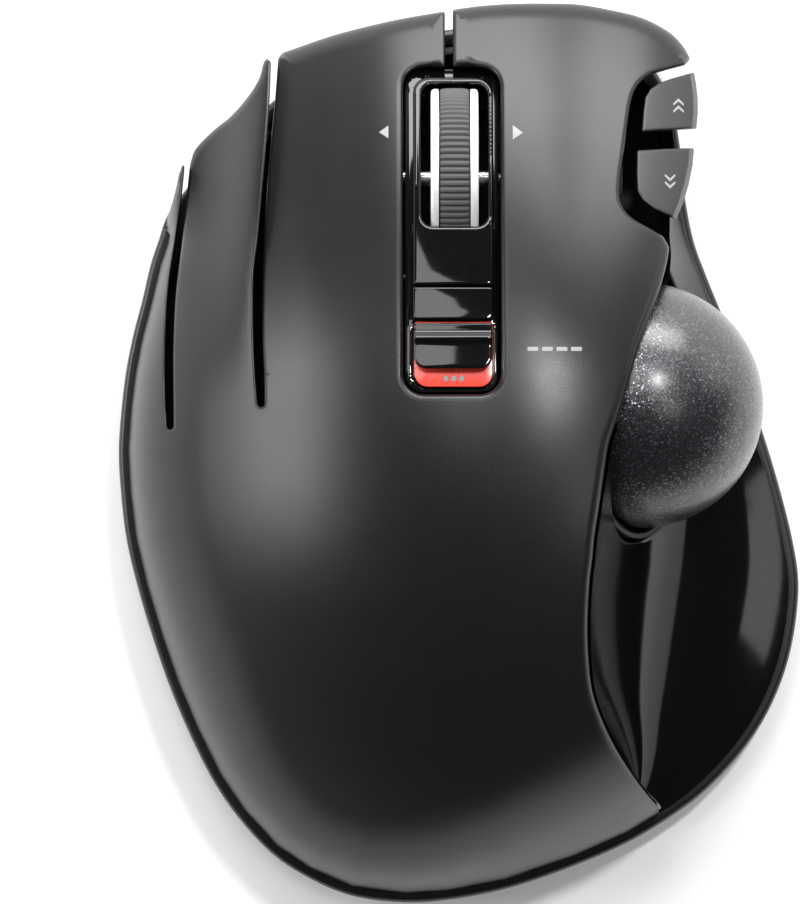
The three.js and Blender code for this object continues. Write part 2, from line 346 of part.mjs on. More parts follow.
wall = biggest(wall.subtract(ball(BALL, BALL_GAP_R, 28, 18)));
add('side_wall', wall, M.matte);

// ---------------------------------------------------------------- side keys
const keySolid = (poly) => heightSolid(poly, (x, y) => crown(x, y) - 0.5 - 0.05 * Math.max(0, x - 29), (x, y) => crown(x, y) - 6.2, [1.2], 3);
const FWD = [[32.8, 52.9], [30.5, 52.3], [29.2, 51.9], [27.7, 51.3], [26.6, 50.5], [25.8, 49.2], [25.5, 47], [25.3, 44.4], [28.8, 44.7], [33, 45], [33.2, 48.2], [33.1, 51]];
const BACK = [[24.6, 41.8], [28.3, 42], [32.6, 42.2], [32.3, 39.6], [31.7, 37], [30.9, 34.4], [29.9, 32.3], [28.6, 32.8], [26.8, 33.6], [25.2, 34.9], [24.5, 36.2], [24.5, 39]];
add('forward_button', keySolid(FWD).add(box(24.2, 26.6, 46.2, 48.6, crown(26, 47.4) - 4.8, crown(26, 47.4) - 3.2)), M.matte);
add('back_button', keySolid(BACK).add(box(23.6, 25.6, 36.6, 39, crown(25, 37.8) - 4.8, crown(25, 37.8) - 3.2)), M.matte);
add('side_key_board', box(19.3, 20.5, 34, 48.4, 14.5, 22.4), M.pcb);
add('forward_switch', box(20.8, 23, 45.4, 49.4, 17.4, 20.9), M.black);
add('back_switch', box(20.8, 22.6, 35.8, 39.8, 19.2, 23.2), M.black);

// ---------------------------------------------------------------- centre console, slider, label and indicator window
const consoleOutline = (d, n = 5) => { const p = rect(CONSOLE.x0 + d, CONSOLE.x1 - d, CONSOLE.y0 + d, CONSOLE.y1 - d, CONSOLE.r - d * 0.5, n); return p; };
const densify = (poly, step) => poly.flatMap((p, i) => { const q = poly[(i + 1) % poly.length], l = Math.hypot(q[0] - p[0], q[1] - p[1]), n = Math.max(1, Math.round(l / step)); return Array.from({ length: n }, (_, k) => [lerp(p[0], q[0], k / n), lerp(p[1], q[1], k / n)]); });
const strap = (poly, a, b, step = 6) => heightSolid(densify(poly, step), (x, y) => crown(0, y) - a, (x, y) => crown(0, y) - b, [], 30);
let console_ = strap(consoleOutline(0.45), 3.0, 4.2).add(strap(rect(STRIP.x0, STRIP.x1, STRIP.y0, STRIP.y1, 2.2, 3), 1.0, 3.4));
console_ = console_.add(box(-6, 3.6, 51.6, 52.7, 24, crown(0, 52) - 3.6));
console_ = console_.subtract(prism(rect(WHEEL_HOLE.x0, WHEEL_HOLE.x1, WHEEL_HOLE.y0, WHEEL_HOLE.y1, 1.6, 3), 0, 60));
console_ = console_.subtract(strap(rect(STRIP.x0 + 0.25, STRIP.x1 - 0.25, 8.9, 18, 0.3, 2), -2, 2.9));
console_ = console_.subtract(cylX(WHEEL_HOLE.x0, WHEEL_HOLE.x1, WHEEL[1], WHEEL[2], WHEEL_R + 0.6, 40));
console_ = console_.subtract(strap(rect(STRIP.x0 - 0.3, STRIP.x1 + 0.3, 18, 22.9), -2, 2.4));
add('centre_console', console_, M.gloss);
add('indicator_window', strap(rect(STRIP.x0 + 0.1, STRIP.x1 - 0.1, 18.25, 22.6), 1.0, 2.1), M.gloss);
add('speed_label_plate', strap(rect(STRIP.x0 + 0.55, STRIP.x1 - 0.55, 9.1, 17.8, 1.7, 3), 2.2, 2.6), M.red);
const slope = Math.atan2(crown(0, 17.7) - crown(0, 11.3), 6.4);
const knob = (() => { // rigid block on the local slope, so that it slides without binding
  const n = 14, prof = [[0, -1.55], [6.3, -1.55], [6.3, 0.35], [5.1, 0.35], [4.3, 0.75], [3.9, 0.75], [3.4, 0.2], [0.5, 0.2], [0, -0.2]];
  const shape = new THREE.Shape(prof.map(([a, b]) => new THREE.Vector2(a, b)));
  const g = new THREE.ExtrudeGeometry(shape, { depth: 10.2, bevelEnabled: false });
  g.rotateX(Math.PI / 2).rotateZ(Math.PI / 2); // profile's x -> +Y, y -> +Z, depth -> +X
  g.translate(STRIP.x0 + 0.45, 0, 0).rotateX(slope).translate(0, SLIDER.y0 + 0.1, crown(0, 11.4) - 0.55);
  return solid(g);
})();
add('speed_slider', knob, M.gloss);

// ---------------------------------------------------------------- scroll wheel on its tilting and clicking mount
const [wx, wy, wz] = WHEEL, hw = WHEEL_W / 2, ht = TYRE_W / 2;
add('wheel_tyre', latheX([[WHEEL_R - 1.6, -ht], [WHEEL_R, -ht], [WHEEL_R, ht], [WHEEL_R - 1.6, ht], [WHEEL_R - 1.6, -ht]], 32, WHEEL), M.rubber);
add('wheel_hub', latheX([[1.3, -hw + 0.6], [8.6, -hw + 0.6], [9.6, -hw], [11.6, -hw], [12.35, -ht - 0.35], [12.35, -ht - 0.12], [10.7, -ht - 0.12], [10.7, ht + 0.12], [12.35, ht + 0.12], [12.35, ht + 0.35], [11.6, hw], [9.6, hw], [8.6, hw - 0.6], [1.3, hw - 0.6], [1.3, -hw + 0.6]], 20, WHEEL), M.chrome);
add('wheel_axle', cylX(wx - 7.4, wx + 6.8, wy, wz, 1.1, 12), M.steel);
const arm = (x0, x1) => union(box(x0, x1, wy - 3, wy + 3, 17.2, wz + 1.4), box(x0, x1, 23.4, wy + 3, 15.4, 18.4)).subtract(cylX(x0 - 1, x1 + 1, wy, wz, 1.35, 14)).subtract(box(x0 - 1, x1 + 1, wy - 1.35, wy + 1.35, wz, wz + 4));
let cradle = union(arm(wx - 6.6, wx - 4.9), arm(wx + 4.9, wx + 6.6), box(wx - 6.6, wx + 6.6, 23.4, 25.2, 15.4, 18.4));
cradle = union(cradle, box(wx - 6.6, wx - 4.9, wy, 45.9, 13.6, 17.6), box(wx + 4.9, wx + 6.6, wy, 45.9, 13.6, 17.6), box(wx - 6.6, wx + 6.6, 44.2, 45.9, 13.6, 14.9));
cradle = cradle.subtract(cylX(wx - 9, wx + 9, 24.3, 16.9, 0.75, 10));
add('wheel_cradle', cradle, M.black);
add('cradle_pin', cylX(wx - 8.6, wx + 8.6, 24.3, 16.9, 0.6, 10), M.steel);
let frame = union(
  box(wx - 9.2, wx - 7.0, 22.4, 47.6, 14.2, 18.2), box(wx + 7.0, wx + 9.2, 22.4, 47.6, 14.2, 18.2),
  box(wx - 9.2, wx + 9.2, 21, 22.9, 12.6, 18.2), box(wx - 9.2, wx + 9.2, 51.0 - 3.0, 49.6, 12.6, 15.4).add(box(wx - 9.2, wx - 7.0, 47, 49, 12.6, 18.2)).add(box(wx + 7.0, wx + 9.2, 47, 49, 12.6, 18.2)),
).subtract(cylX(wx - 12, wx + 12, 24.3, 16.9, 0.75, 10));
frame = union(frame, cylY(wx, 18.6, 21.2, 14.2, 1.1, 10), cylY(wx, 49.4, 52, 14.2, 1.1, 10));
add('tilt_frame', frame, M.black);
add('tilt_bearing', box(wx - 3, wx + 3, 18.2, 20.4, PCB_Z + PCB_T + 0.3, 16.6).subtract(cylY(wx, 17, 21, 14.2, 1.35, 12)), M.black);
add('scroll_encoder', box(wx + 7.05, wx + 9.8, wy - 4, wy + 4, 19.3, wz + 2.3), M.black);

// ---------------------------------------------------------------- circuit board and what sits on it
let pcb = prism([[-27, 6.5], [5, 6.5], [5, 24], [20, 28.5], [20, 44], [17, 48.6], [-13.5, 48.2], [-27, 39.5]], PCB_Z, PCB_Z + PCB_T);
add('main_board', pcb, M.pcb);
const top = PCB_Z + PCB_T + 0.2;
const micro = (x, y) => union(box(x - 2.9, x + 2.9, y - 6.4, y + 3.4, top, SWITCH_TOP - 0.6), box(x - 1, x + 1, y - 0.7, y + 0.7, SWITCH_TOP - 1, SWITCH_TOP));
add('left_click_switch', micro(...SWITCH_L), M.black);
add('right_click_switch', micro(...SWITCH_R), M.black);
add('middle_click_switch', union(box(wx - 3, wx + 3, 43, 47, top, 11.9), cylZ(wx, 45, 1.5, 11.6, 12.5, 12)), M.black);
add('tilt_switch_left', box(wx - 9.6, wx - 6.6, 31, 35, top, 12.9), M.black);
add('tilt_switch_right', box(wx + 6.6, wx + 9.6, 31, 35, top, 12.9), M.black);
add('speed_switch', union(box(-5.5, 3.5, 10, 14.4, top, 15), box(-1.6, -0.4, 11, 13.4, 14.5, 17)), M.steel);
add('radio_chip', box(-21, -15, 16, 22, top, 12.2), M.black);
add('status_led', box(-2, 0, 16.2, 17.6, top, 12.2), M.white);

// ---------------------------------------------------------------- ball, bowl, bearings and optical sensor
add('trackball', ball(BALL, BALL_R, 24, 16), M.ball);
const half = new THREE.BoxGeometry(60, 60, 60).translate(-30, 0, 0).rotateY(-Math.asin(0.423)).translate(...BALL);
let bowl = ball(BALL, BOWL_R_OUT, 20, 14).subtract(ball(BALL, BOWL_R_IN, 20, 14)).intersect(solid(half)).subtract(cylZ(BALL[0], BALL[1], 5.2, -1, 20, 18));
bowl = bowl.subtract(prism([[26, -20], [60, -20], [60, 40], [26, 40]], 11, 60));
const BR = 1.25, seats = [V(-0.86, 0.1, 0.2).normalize(), V(-0.05, 0.66, -0.75).normalize(), V(-0.05, -0.66, -0.75).normalize()];
seats.forEach((d, i) => {
  const c = V(...BALL).addScaledVector(d, BALL_R + BR + 0.06);
  bowl = bowl.subtract(ball([c.x, c.y, c.z], BR + 0.35, 10, 6));
  add('support_bearing_' + (i + 1), ball([c.x, c.y, c.z], BR, 10, 6), M.ceramic);
});
// window for the optical sensor, on the left lower side of the bowl
const sd = V(-0.78, 0, -0.62).normalize(), sc = V(...BALL).addScaledVector(sd, 18.2);
const tilted = (w, h, d, off) => { const g = new THREE.BoxGeometry(w, h, d); g.applyQuaternion(new THREE.Quaternion().setFromUnitVectors(V(0, 0, 1), sd)); const p = V(...BALL).addScaledVector(sd, off); return solid(g.translate(p.x, p.y, p.z)); };
bowl = bowl.subtract(tilted(6, 6, 6, 18));
bowl = biggest(bowl);
add('ball_bowl', bowl, M.black);
add('sensor_lens', tilted(5, 5, 1.2, 18.6), M.clear);
add('optical_sensor', tilted(9, 9, 1.6, 20.6), M.black);
add('sensor_board', tilted(16, 13, 1.0, 22.4), M.pcb);

// ---------------------------------------------------------------- cell, contacts, door, power switch
add('aa_cell', union(cylY(CELL.x, CELL.y0, CELL.y1 - 1, CELL.z, CELL.r, 24), cylY(CELL.x, CELL.y1 - 1.2, CELL.y1, CELL.z, 2.7, 14)), M.label);
add('contact_plate', box(CELL.x - 4, CELL.x + 4, CELL.y1 + 0.4, CELL.y1 + 0.9, 5, 15.5), M.steel);
const coil = Array.from({ length: 37 }, (_, i) => { const a = (i / 12) * 2 * Math.PI, r = 3.4 - i * 0.035; return V(CELL.x + r * Math.cos(a), -52.35 + (i / 36) * 1.75, CELL.z + r * Math.sin(a)); });
add('contact_spring', solid(new THREE.ExtrudeGeometry(new THREE.Shape(Array.from({ length: 4 }, (_, i) => new THREE.Vector2(0.24 * Math.cos((i * Math.PI) / 2), 0.24 * Math.sin((i * Math.PI) / 2)))), { steps: 36, bevelEnabled: false, extrudePath: new THREE.CatmullRomCurve3(coil) })), M.steel);
let door = box(DOOR.x0 + 0.35, DOOR.x1 - 0.35, DOOR.y0 + 0.35, DOOR.y1 - 0.35, FLOOR_Z + 0.15, FLOOR_Z + 1.6);
[-6, 0, 6].forEach((y) => { door = door.subtract(box(CELL.x - 4, CELL.x + 4, -44 + y * 0.35 - 0.4, -44 + y * 0.35 + 0.4, 0, FLOOR_Z + 0.6)); });
add('battery_door', door, M.base);
add('power_switch', union(box(-32.6, -29.4, -13, -7.4, FLOOR_Z + 0.1, 4), box(-32.9, -29.1, -13.8, -6.4, 2.9, 4.9)), M.white);
add('power_switch_body', box(-35, -27, -19.5, -4.5, 5.3, 9), M.steel);

// ---------------------------------------------------------------- screws
SCREWS.forEach(([x, y], i) => add('screw_' + (i + 1), union(cylZ(x, y, 2.5, 1.5, 3.1, 12), cylZ(x, y, 1.35, 3, i === 3 ? 9.6 : 11.5, 10)).subtract(union(box(x - 1.5, x + 1.5, y - 0.28, y + 0.28, 0, 2.1), box(x - 0.28, x + 0.28, y - 1.5, y + 1.5, 0, 2.1))), M.steel));

// ---------------------------------------------------------------- USB receiver, stowed plug first in its pocket
const rx = (POCKET.x0 + POCKET.x1) / 2, ry = POCKET.y1 - 0.7;
add('receiver_cap', union(prism(rect(rx - 6.6, rx + 6.6, ry - 6, ry, 0.6, 2), 1.3, 6.9), prism(rect(rx - 7, rx + 7, ry - 2.7, ry - 2, 0.3, 1), 1.1, 7.1), prism(rect(rx - 7, rx + 7, ry - 4.6, ry - 3.9, 0.3, 1), 1.1, 7.1), prism(rect(rx - 7, rx + 7, ry - 0.7, ry, 0.3, 1), 1.1, 7.1)), M.black);
let plug = box(rx - 6, rx + 6, ry - 18.4, ry - 6.3, 1.85, 6.35).subtract(box(rx - 5.7, rx + 5.7, ry - 20, ry - 6.6, 2.15, 6.05));
[[-3.6, -11.6], [1.1, -11.6]].forEach(([a, b]) => { plug = plug.subtract(box(rx + a, rx + a + 2.5, ry + b, ry + b + 2.2, 0, 10)); });
[[-2.9, -7.9], [1.4, -7.9]].forEach(([a, b]) => { plug = plug.subtract(cylZ(rx + a + 0.7, ry + b, 0.75, 0, 10, 10)); });
add('receiver_plug_shell', plug, M.steel);
add('receiver_contact_block', box(rx - 5.4, rx + 5.4, ry - 18, ry - 6.9, 4.1, 5.75), M.white);

export default root;
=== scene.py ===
# Left-handed thumb trackball mouse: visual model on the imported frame.
import math
import bpy
import numpy as np
from mathutils import Vector, Matrix
from mathutils.geometry import delaunay_2d_cdt


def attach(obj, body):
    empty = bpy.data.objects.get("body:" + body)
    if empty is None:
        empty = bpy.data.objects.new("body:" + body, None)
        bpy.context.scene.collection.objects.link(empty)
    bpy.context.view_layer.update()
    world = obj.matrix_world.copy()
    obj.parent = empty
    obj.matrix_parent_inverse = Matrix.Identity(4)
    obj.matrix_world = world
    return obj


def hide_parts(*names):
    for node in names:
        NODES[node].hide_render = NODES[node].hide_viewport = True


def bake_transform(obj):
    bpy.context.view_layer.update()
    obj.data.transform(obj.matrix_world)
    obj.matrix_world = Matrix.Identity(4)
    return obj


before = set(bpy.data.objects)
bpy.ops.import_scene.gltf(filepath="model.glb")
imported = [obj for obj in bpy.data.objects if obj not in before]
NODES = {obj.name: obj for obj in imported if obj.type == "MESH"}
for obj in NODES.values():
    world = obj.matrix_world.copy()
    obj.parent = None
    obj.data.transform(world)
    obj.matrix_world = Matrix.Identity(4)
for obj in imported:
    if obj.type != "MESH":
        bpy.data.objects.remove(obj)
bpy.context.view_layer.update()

A = np.array

# ------------------------------------------------------------------ driving curves, millimetres
FLANGE = [[-40.9,33.1],[-42.1,29.7],[-43.2,26.4],[-44.4,21.3],[-45.7,16.3],[-46.7,11.2],[-47.3,6.2],[-47.7,0.3],[-47.4,-5.6],[-46.6,-12.3],[-45,-19.1],[-43,-25.8],[-40.7,-32.5],[-37.9,-39.2],[-34.5,-46],[-31.1,-51],[-26.4,-56.1],[-21.6,-59.4],[-15.3,-62.1],[-7.6,-63.1],[-1.3,-62.7],[6.9,-61.1],[16.8,-57.7],[24.2,-54.4],[29.8,-51],[34.2,-47.7],[39.1,-42.6],[42.6,-37.6],[45,-32.5],[46.5,-27.5],[47.4,-21.6],[47.5,-17.4],[46.7,-12.3],[45.5,-7.3],[43.6,-0.6],[40.8,8],[37.1,18.5],[34.6,24.7],[32.8,29.7]]
FRONT = [[31.5,36.7],[31,42.3],[29.3,48.6],[25.4,53],[18.3,55.3],[9.9,55.9],[-1.3,55],[-12.5,52.2],[-22.3,48],[-30.7,42],[-36.3,37.5]]
PINKY_EDGE = [[-41.35,31.4],[-40.6,33.3],[-39.7,36.2],[-39.0,39.2],[-38.6,40.1]]
RING_EDGE = [[-37.4,40.9],[-37.0,42.1],[-34.2,45.0],[-32.0,46.7],[-29.5,49.5],[-27.9,52.1],[-27.3,54.3],[-26.9,54.9]]
TIP_L = [[-24.7,55.75],[-22.2,56.6],[-18.0,58.0],[-13.8,59.1],[-8.3,60.3],[-2.4,61.3]]
TIP_R = [[-0.5,61.65],[2.8,62.1],[7.0,62.4],[11.9,62.5],[16.7,62.4],[20.9,61.7],[25.1,60.7],[27.8,59.5],[29.9,58.1],[31.5,56.2],[32.2,54.8]]
NOTCH = [[31.4,53.9],[28.5,53.1],[26.2,52.3],[24.7,50.9],[23.9,49.2],[23.2,45.2],[22.6,41.0],[22.1,37.1],[22.1,35.0],[22.8,33.3],[24.1,32.1],[26.2,30.9],[28.0,29.8]]
EDGE_R = [[28.9,28.3],[28.6,26.4],[27.7,23.0],[26.3,19.0],[24.8,15.1],[23.2,9.6],[21.9,5.4],[20.5,1.4],[19.8,-2.5],[19.0,-7.8],[18.4,-11.7],[18.1,-14.9],[17.8,-17.3],[17.5,-22.6],[17.6,-27.9],[18.2,-32.9],[19.5,-36.8],[21.6,-41.1],[24.1,-45.0],[26.2,-47.8],[27.4,-49.2]]
SLIT1_L = [[-40.7,3.6],[-40.95,7.7],[-41.0,14.8],[-40.7,21.9],[-40.1,27.2],[-39.2,32.6],[-38.5,38.1],[-38.35,39.9]]
SLIT1_R = [[-39.7,3.6],[-39.75,7.7],[-39.8,14.8],[-39.5,21.9],[-38.9,27.2],[-38.3,32.6],[-37.8,38.1],[-37.6,40.1]]
SLIT2_L = [[-28.0,6.7],[-28.35,11.4],[-28.6,18.3],[-28.5,25.3],[-28.0,29.4],[-27.2,38.5],[-26.5,47.6],[-26.25,54.4]]
SLIT2_R = [[-27.0,6.7],[-27.1,11.3],[-27.3,14.9],[-27.3,21.8],[-27.1,29.4],[-26.6,38.5],[-25.7,49.0],[-25.3,54.9]]
CONSOLE = (-7.9, 5.6, 7.9, 53.4, 2.9)
STRIP = (-6.6, 4.5, 8.6, 52.0)
HOLE = (-5.4, 3.9, 31.1, 51.0)
BALL, BALL_R, GAP_R = A([25.1, 6.5, 25.0]), 17.0, 18.9
WHEEL, WHEEL_R = A([-0.75, 37.9, 26.5]), 12.5
FOOT_Z, RIM_W, SHELL = 6.45, 1.4, 2.1
WALL_LINE = A([[-44.5,62],[-43.6,48],[-43,40],[-42.6,34]] + FLANGE[1:32] + [[50,0],[55,60]], float)


# ------------------------------------------------------------------ numeric helpers
def catmull(pts, step, closed=False):
    """Points spaced about step along a centripetal Catmull-Rom curve."""
    p = A(pts, float)
    n = len(p)
    idx = range(n if closed else n - 1)
    out = []
    for i in idx:
        if closed:
            a, b, c, d = p[(i - 1) % n], p[i], p[(i + 1) % n], p[(i + 2) % n]
        else:
            b, c = p[i], p[i + 1]
            a = p[i - 1] if i else 2 * b - c
            d = p[i + 2] if i + 2 < n else 2 * c - b
        t0 = 0.0
        t1 = t0 + np.linalg.norm(b - a) ** 0.5
        t2 = t1 + np.linalg.norm(c - b) ** 0.5
        t3 = t2 + np.linalg.norm(d - c) ** 0.5
        for t in np.linspace(t1, t2, 24, endpoint=False):
            A1 = (t1 - t) / (t1 - t0) * a + (t - t0) / (t1 - t0) * b
            A2 = (t2 - t) / (t2 - t1) * b + (t - t1) / (t2 - t1) * c
            A3 = (t3 - t) / (t3 - t2) * c + (t - t2) / (t3 - t2) * d
            B1 = (t2 - t) / (t2 - t0) * A1 + (t - t0) / (t2 - t0) * A2
            B2 = (t3 - t) / (t3 - t1) * A2 + (t - t1) / (t3 - t1) * A3
            out.append((t2 - t) / (t2 - t1) * B1 + (t - t1) / (t2 - t1) * B2)
    out.append(p[0] if closed else p[-1])
    return resample(A(out), step)


def resample(line, step):
    line = A(line, float)
    seg = np.linalg.norm(np.diff(line, axis=0), axis=1)
    s = np.concatenate([[0], np.cumsum(seg)])
    n = max(1, int(round(s[-1] / step)))
    t = np.linspace(0, s[-1], n + 1)
    return np.stack([np.interp(t, s, line[:, k]) for k in range(line.shape[1])], 1)


def near_line(pts, line, chunk=3000):
    """Distance to a polyline, the nearest segment's index and the share along it."""
    pts = A(pts, float)
    a, b = line[:-1], line[1:]
    d = b - a
    L = np.maximum((d ** 2).sum(1), 1e-12)
    D, I, T = [], [], []
    for k in range(0, len(pts), chunk):
        p = pts[k:k + chunk, None, :]
        t = np.clip(((p - a) * d).sum(2) / L, 0, 1)
        q = a + t[..., None] * d
        dist = ((p - q) ** 2).sum(2)
        i = dist.argmin(1)
        r = np.arange(len(i))
        D.append(np.sqrt(dist[r, i])); I.append(i); T.append(t[r, i])
    return np.concatenate(D), np.concatenate(I), np.concatenate(T)


def inside(poly, pts):
    pts = A(pts, float)
    c = np.zeros(len(pts), bool)
    x, y = pts[:, 0], pts[:, 1]
    xi, yi = poly[:, 0], poly[:, 1]
    xj, yj = np.roll(xi, 1), np.roll(yi, 1)
    for k in range(len(poly)):
        if yi[k] == yj[k]:
            continue
        hit = ((yi[k] > y) != (yj[k] > y)) & (x < (xj[k] - xi[k]) * (y - yi[k]) / (yj[k] - yi[k]) + xi[k])
        c ^= hit
    return c


def area(p):
    return 0.5 * float((p[:, 0] * np.roll(p[:, 1], -1) - np.roll(p[:, 0], -1) * p[:, 1]).sum())


def smooth(a, b, x):
    t = np.clip((x - a) / (b - a), 0, 1)
    return t * t * (3 - 2 * t)


def gauss(t):
    return np.exp(-t * t)


def smin(a, b, k):
    h = np.clip(0.5 + 0.5 * (b - a) / k, 0, 1)
    return b + (a - b) * h - k * h * (1 - h)


def at_y(line, y):
    line = A(line, float)
    return np.interp(y, line[:, 1], line[:, 0])


SLIT1 = (A(SLIT1_L) + A(SLIT1_R)) / 2
SLIT2 = (A(SLIT2_L) + A(SLIT2_R)) / 2


# ------------------------------------------------------------------ the sculpted top surface, height over (x, y)
def crown(x, y):
    t, u = y + 5.0, x - (7 - 0.04 * y)
    z = 47.9 - 0.0068 * t * t + 9.2e-6 * t ** 3 - (0.01157 * u * u + 2.14e-5 * u ** 3)
    z = z - 1.3 * gauss((x - 18) / 6.5) * smooth(10, 42, y) - 0.7 * gauss((x + 17) / 6) * smooth(10, 40, y)
    a2, a1, s2, s1 = smooth(6, 36, y), smooth(3, 30, y), at_y(SLIT2, y), at_y(SLIT1, y)
    z = z + np.where(x < s2, a2 * (1.9 * gauss((x - s2 + 1.2) / 4) - 1.3 * gauss((x - s2 + 8) / 4.2)), -0.9 * a2 * gauss((x - s2 - 1) / 5))
    z = z + np.where(x < s1, 1.3 * a1 * gauss((x - s1 + 0.8) / 2.6), np.where(x < s2, -0.9 * a1 * gauss((x - s1 - 0.5) / 4), 0))
    return z


def wall(d):
    return FOOT_Z + 7.2 * np.power(np.maximum(d, 0), 0.6)


def rim_dist(x, y):
    return near_line(np.stack([x, y], 1), WALL_LINE)[0] - RIM_W


def top_z(x, y):
    return smin(crown(x, y), wall(rim_dist(x, y)), 8)


def under_z(x, y):
    return np.maximum(FOOT_Z, smin(crown(x, y) - SHELL, wall(rim_dist(x, y) - SHELL), 8))


# ------------------------------------------------------------------ mesh helpers
def new_object(name, verts, faces, material, normals=None, flat=False, mats=None, face_mat=None):
    """A mesh object from millimetre vertices. normals is one normal per loop."""
    me = bpy.data.meshes.new(name)
    me.from_pydata((A(verts, float) * 0.001).tolist(), [], [list(map(int, f)) for f in faces])
    me.validate(clean_customdata=False)
    me.polygons.foreach_set("use_smooth", [not flat] * len(me.polygons))
    if normals is not None and len(normals) == len(me.loops):
        me.normals_split_custom_set(A(normals, float).tolist())
    for m in (mats or [material]):
        me.materials.append(m)
    if face_mat is not None:
        me.polygons.foreach_set("material_index", list(map(int, face_mat)))
    me.update()
    ob = bpy.data.objects.new(name, me)
    bpy.context.scene.collection.objects.link(ob)
    return ob


def vertex_normals(v, f):
    v, f = A(v, float), A(f, int)
    n = np.zeros_like(v)
    a, b, c = v[f[:, 0]], v[f[:, 1]], v[f[:, 2]]
    fn = np.cross(b - a, c - a)
    ln = np.linalg.norm(fn, axis=1, keepdims=True) + 1e-12
    un = fn / ln
    for k, (p, q, r) in enumerate(((a, b, c), (b, c, a), (c, a, b))):
        e1, e2 = q - p, r - p
        ang = np.arccos(np.clip((e1 * e2).sum(1) / (np.linalg.norm(e1, axis=1) * np.linalg.norm(e2, axis=1) + 1e-12), -1, 1))
        np.add.at(n, f[:, k], un * ang[:, None])
    return n / (np.linalg.norm(n, axis=1, keepdims=True) + 1e-12)


def triangulate(points, segments):
    """Constrained Delaunay triangles of plan points."""
    co, _, faces, orig, _, _ = delaunay_2d_cdt([Vector(p) for p in A(points, float)[:, :2].tolist()], [tuple(map(int, s)) for s in segments], [], 0, 1e-6, True)
    return A([[c.x, c.y] for c in co]), [tuple(f) for f in faces], orig


def fill_points(loop, rows, step, closed=True, extra=None):
    """Boundary, offset rows and a free grid inside a closed loop; returns the points and how many are boundary."""
    n = len(loop)
    s = 1.0 if area(loop) > 0 else -1.0
    t = np.roll(loop, -1, 0) - np.roll(loop, 1, 0)
    t /= np.linalg.norm(t, axis=1, keepdims=True) + 1e-12
    nin = np.stack([-t[:, 1], t[:, 0]], 1) * s
    ring = np.vstack([loop, loop[:1]])
    pts = [loop]
    for r in rows:
        q = loop + nin * r
        # finer on the outside of tight corners
        mid = (loop + np.roll(loop, -1, 0)) / 2 + (nin + np.roll(nin, -1, 0)) / np.maximum(np.linalg.norm(nin + np.roll(nin, -1, 0), axis=1, keepdims=True), 1e-9) * r
        gap = np.linalg.norm(q - np.roll(q, -1, 0), axis=1)
        base = np.linalg.norm(loop - np.roll(loop, -1, 0), axis=1)
        q = np.vstack([q, mid[gap > 1.6 * base]])
        d = near_line(q, ring)[0]
        q = q[(d > 0.96 * r) & inside(loop, q)]
        # thin out points that crowd together on the inside of corners
        keep, cell = [], {}
        h = max(0.25 * step * 0.3, 0.12)
        for i, p in enumerate(q):
            k = (round(p[0] / h), round(p[1] / h))
            if k in cell:
                continue
            cell[k] = 1
            keep.append(i)
        pts.append(q[keep])
    last = rows[-1] if len(rows) else 0
    x0, y0 = loop.min(0)
    x1, y1 = loop.max(0)
    gx, gy = [], []
    for k, y in enumerate(np.arange(y0, y1, step * 0.866)):
        xs = np.arange(x0 + (step / 2 if k % 2 else 0), x1, step)
        gx.append(xs); gy.append(np.full(len(xs), y))
    g = np.stack([np.concatenate(gx), np.concatenate(gy)], 1)
    g = g[inside(loop, g)]
    if len(g):
        g = g[near_line(g, ring)[0] > last + 0.5 * step]
        pts.append(g)
    if extra is not None:
        e = A(extra, float)
        rest = np.vstack(pts[1:]) if len(pts) > 1 else np.zeros((0, 2))
        if len(rest):
            d = near_line(rest, e)[0]
            rest = rest[d > 0.35 * step]
        pts = [loop, e, rest]
    allp = np.vstack(pts)
    return allp, n


def boundary_edges(faces):
    seen = {}
    for f in faces:
        m = len(f)
        for k in range(m):
            a, b = f[k], f[(k + 1) % m]
            if (b, a) in seen:
                del seen[(b, a)]
            else:
                seen[(a, b)] = 1
    return list(seen)


def shell_object(name, top, bottom, faces, material, top_n=None, wall_smooth=True, slot=None):
    """A closed body from matching upper and lower points and the upper triangles."""
    used = sorted({i for f in faces for i in f})
    m = {v: k for k, v in enumerate(used)}
    T, B = top[used], bottom[used]
    F = [tuple(m[i] for i in f) for f in faces]
    n = len(used)
    tn = vertex_normals(T, F) if top_n is None else top_n[used]
    bn = vertex_normals(B, [f[::-1] for f in F])
    edges = boundary_edges(F)
    nxt = {a: b for a, b in edges}
    prv = {b: a for a, b in edges}
    en = {}
    for a, b in edges:
        d = T[b][:2] - T[a][:2]
        l = np.linalg.norm(d) + 1e-9
        en[(a, b)] = A([d[1] / l, -d[0] / l, 0.0])
    wn = {}
    for a, b in edges:
        p = prv.get(a)
        e0 = en.get((p, a)) if p is not None else None
        wn[a] = en[(a, b)] if e0 is None or (e0 @ en[(a, b)]) < 0.5 else (e0 + en[(a, b)]) / np.linalg.norm(e0 + en[(a, b)])
    faces_out, normals = [], []
    for f in F:
        faces_out.append(f); normals += [tn[i] for i in f]
    for f in F:
        g = tuple(n + i for i in f[::-1])
        faces_out.append(g); normals += [bn[i - n] for i in g]
    for a, b in edges:
        if np.linalg.norm(T[a] - B[a]) < 1e-6 and np.linalg.norm(T[b] - B[b]) < 1e-6:
            continue
        faces_out.append((b, a, n + a, n + b))
        na = wn[a]
        nb = wn.get(b, en[(a, b)])
        if (na @ en[(a, b)]) < 0.5: na = en[(a, b)]
        if (nb @ en[(a, b)]) < 0.5: nb = en[(a, b)]
        normals += [nb, na, na, nb]
    return new_object(name, np.vstack([T, B]), faces_out, material, normals)


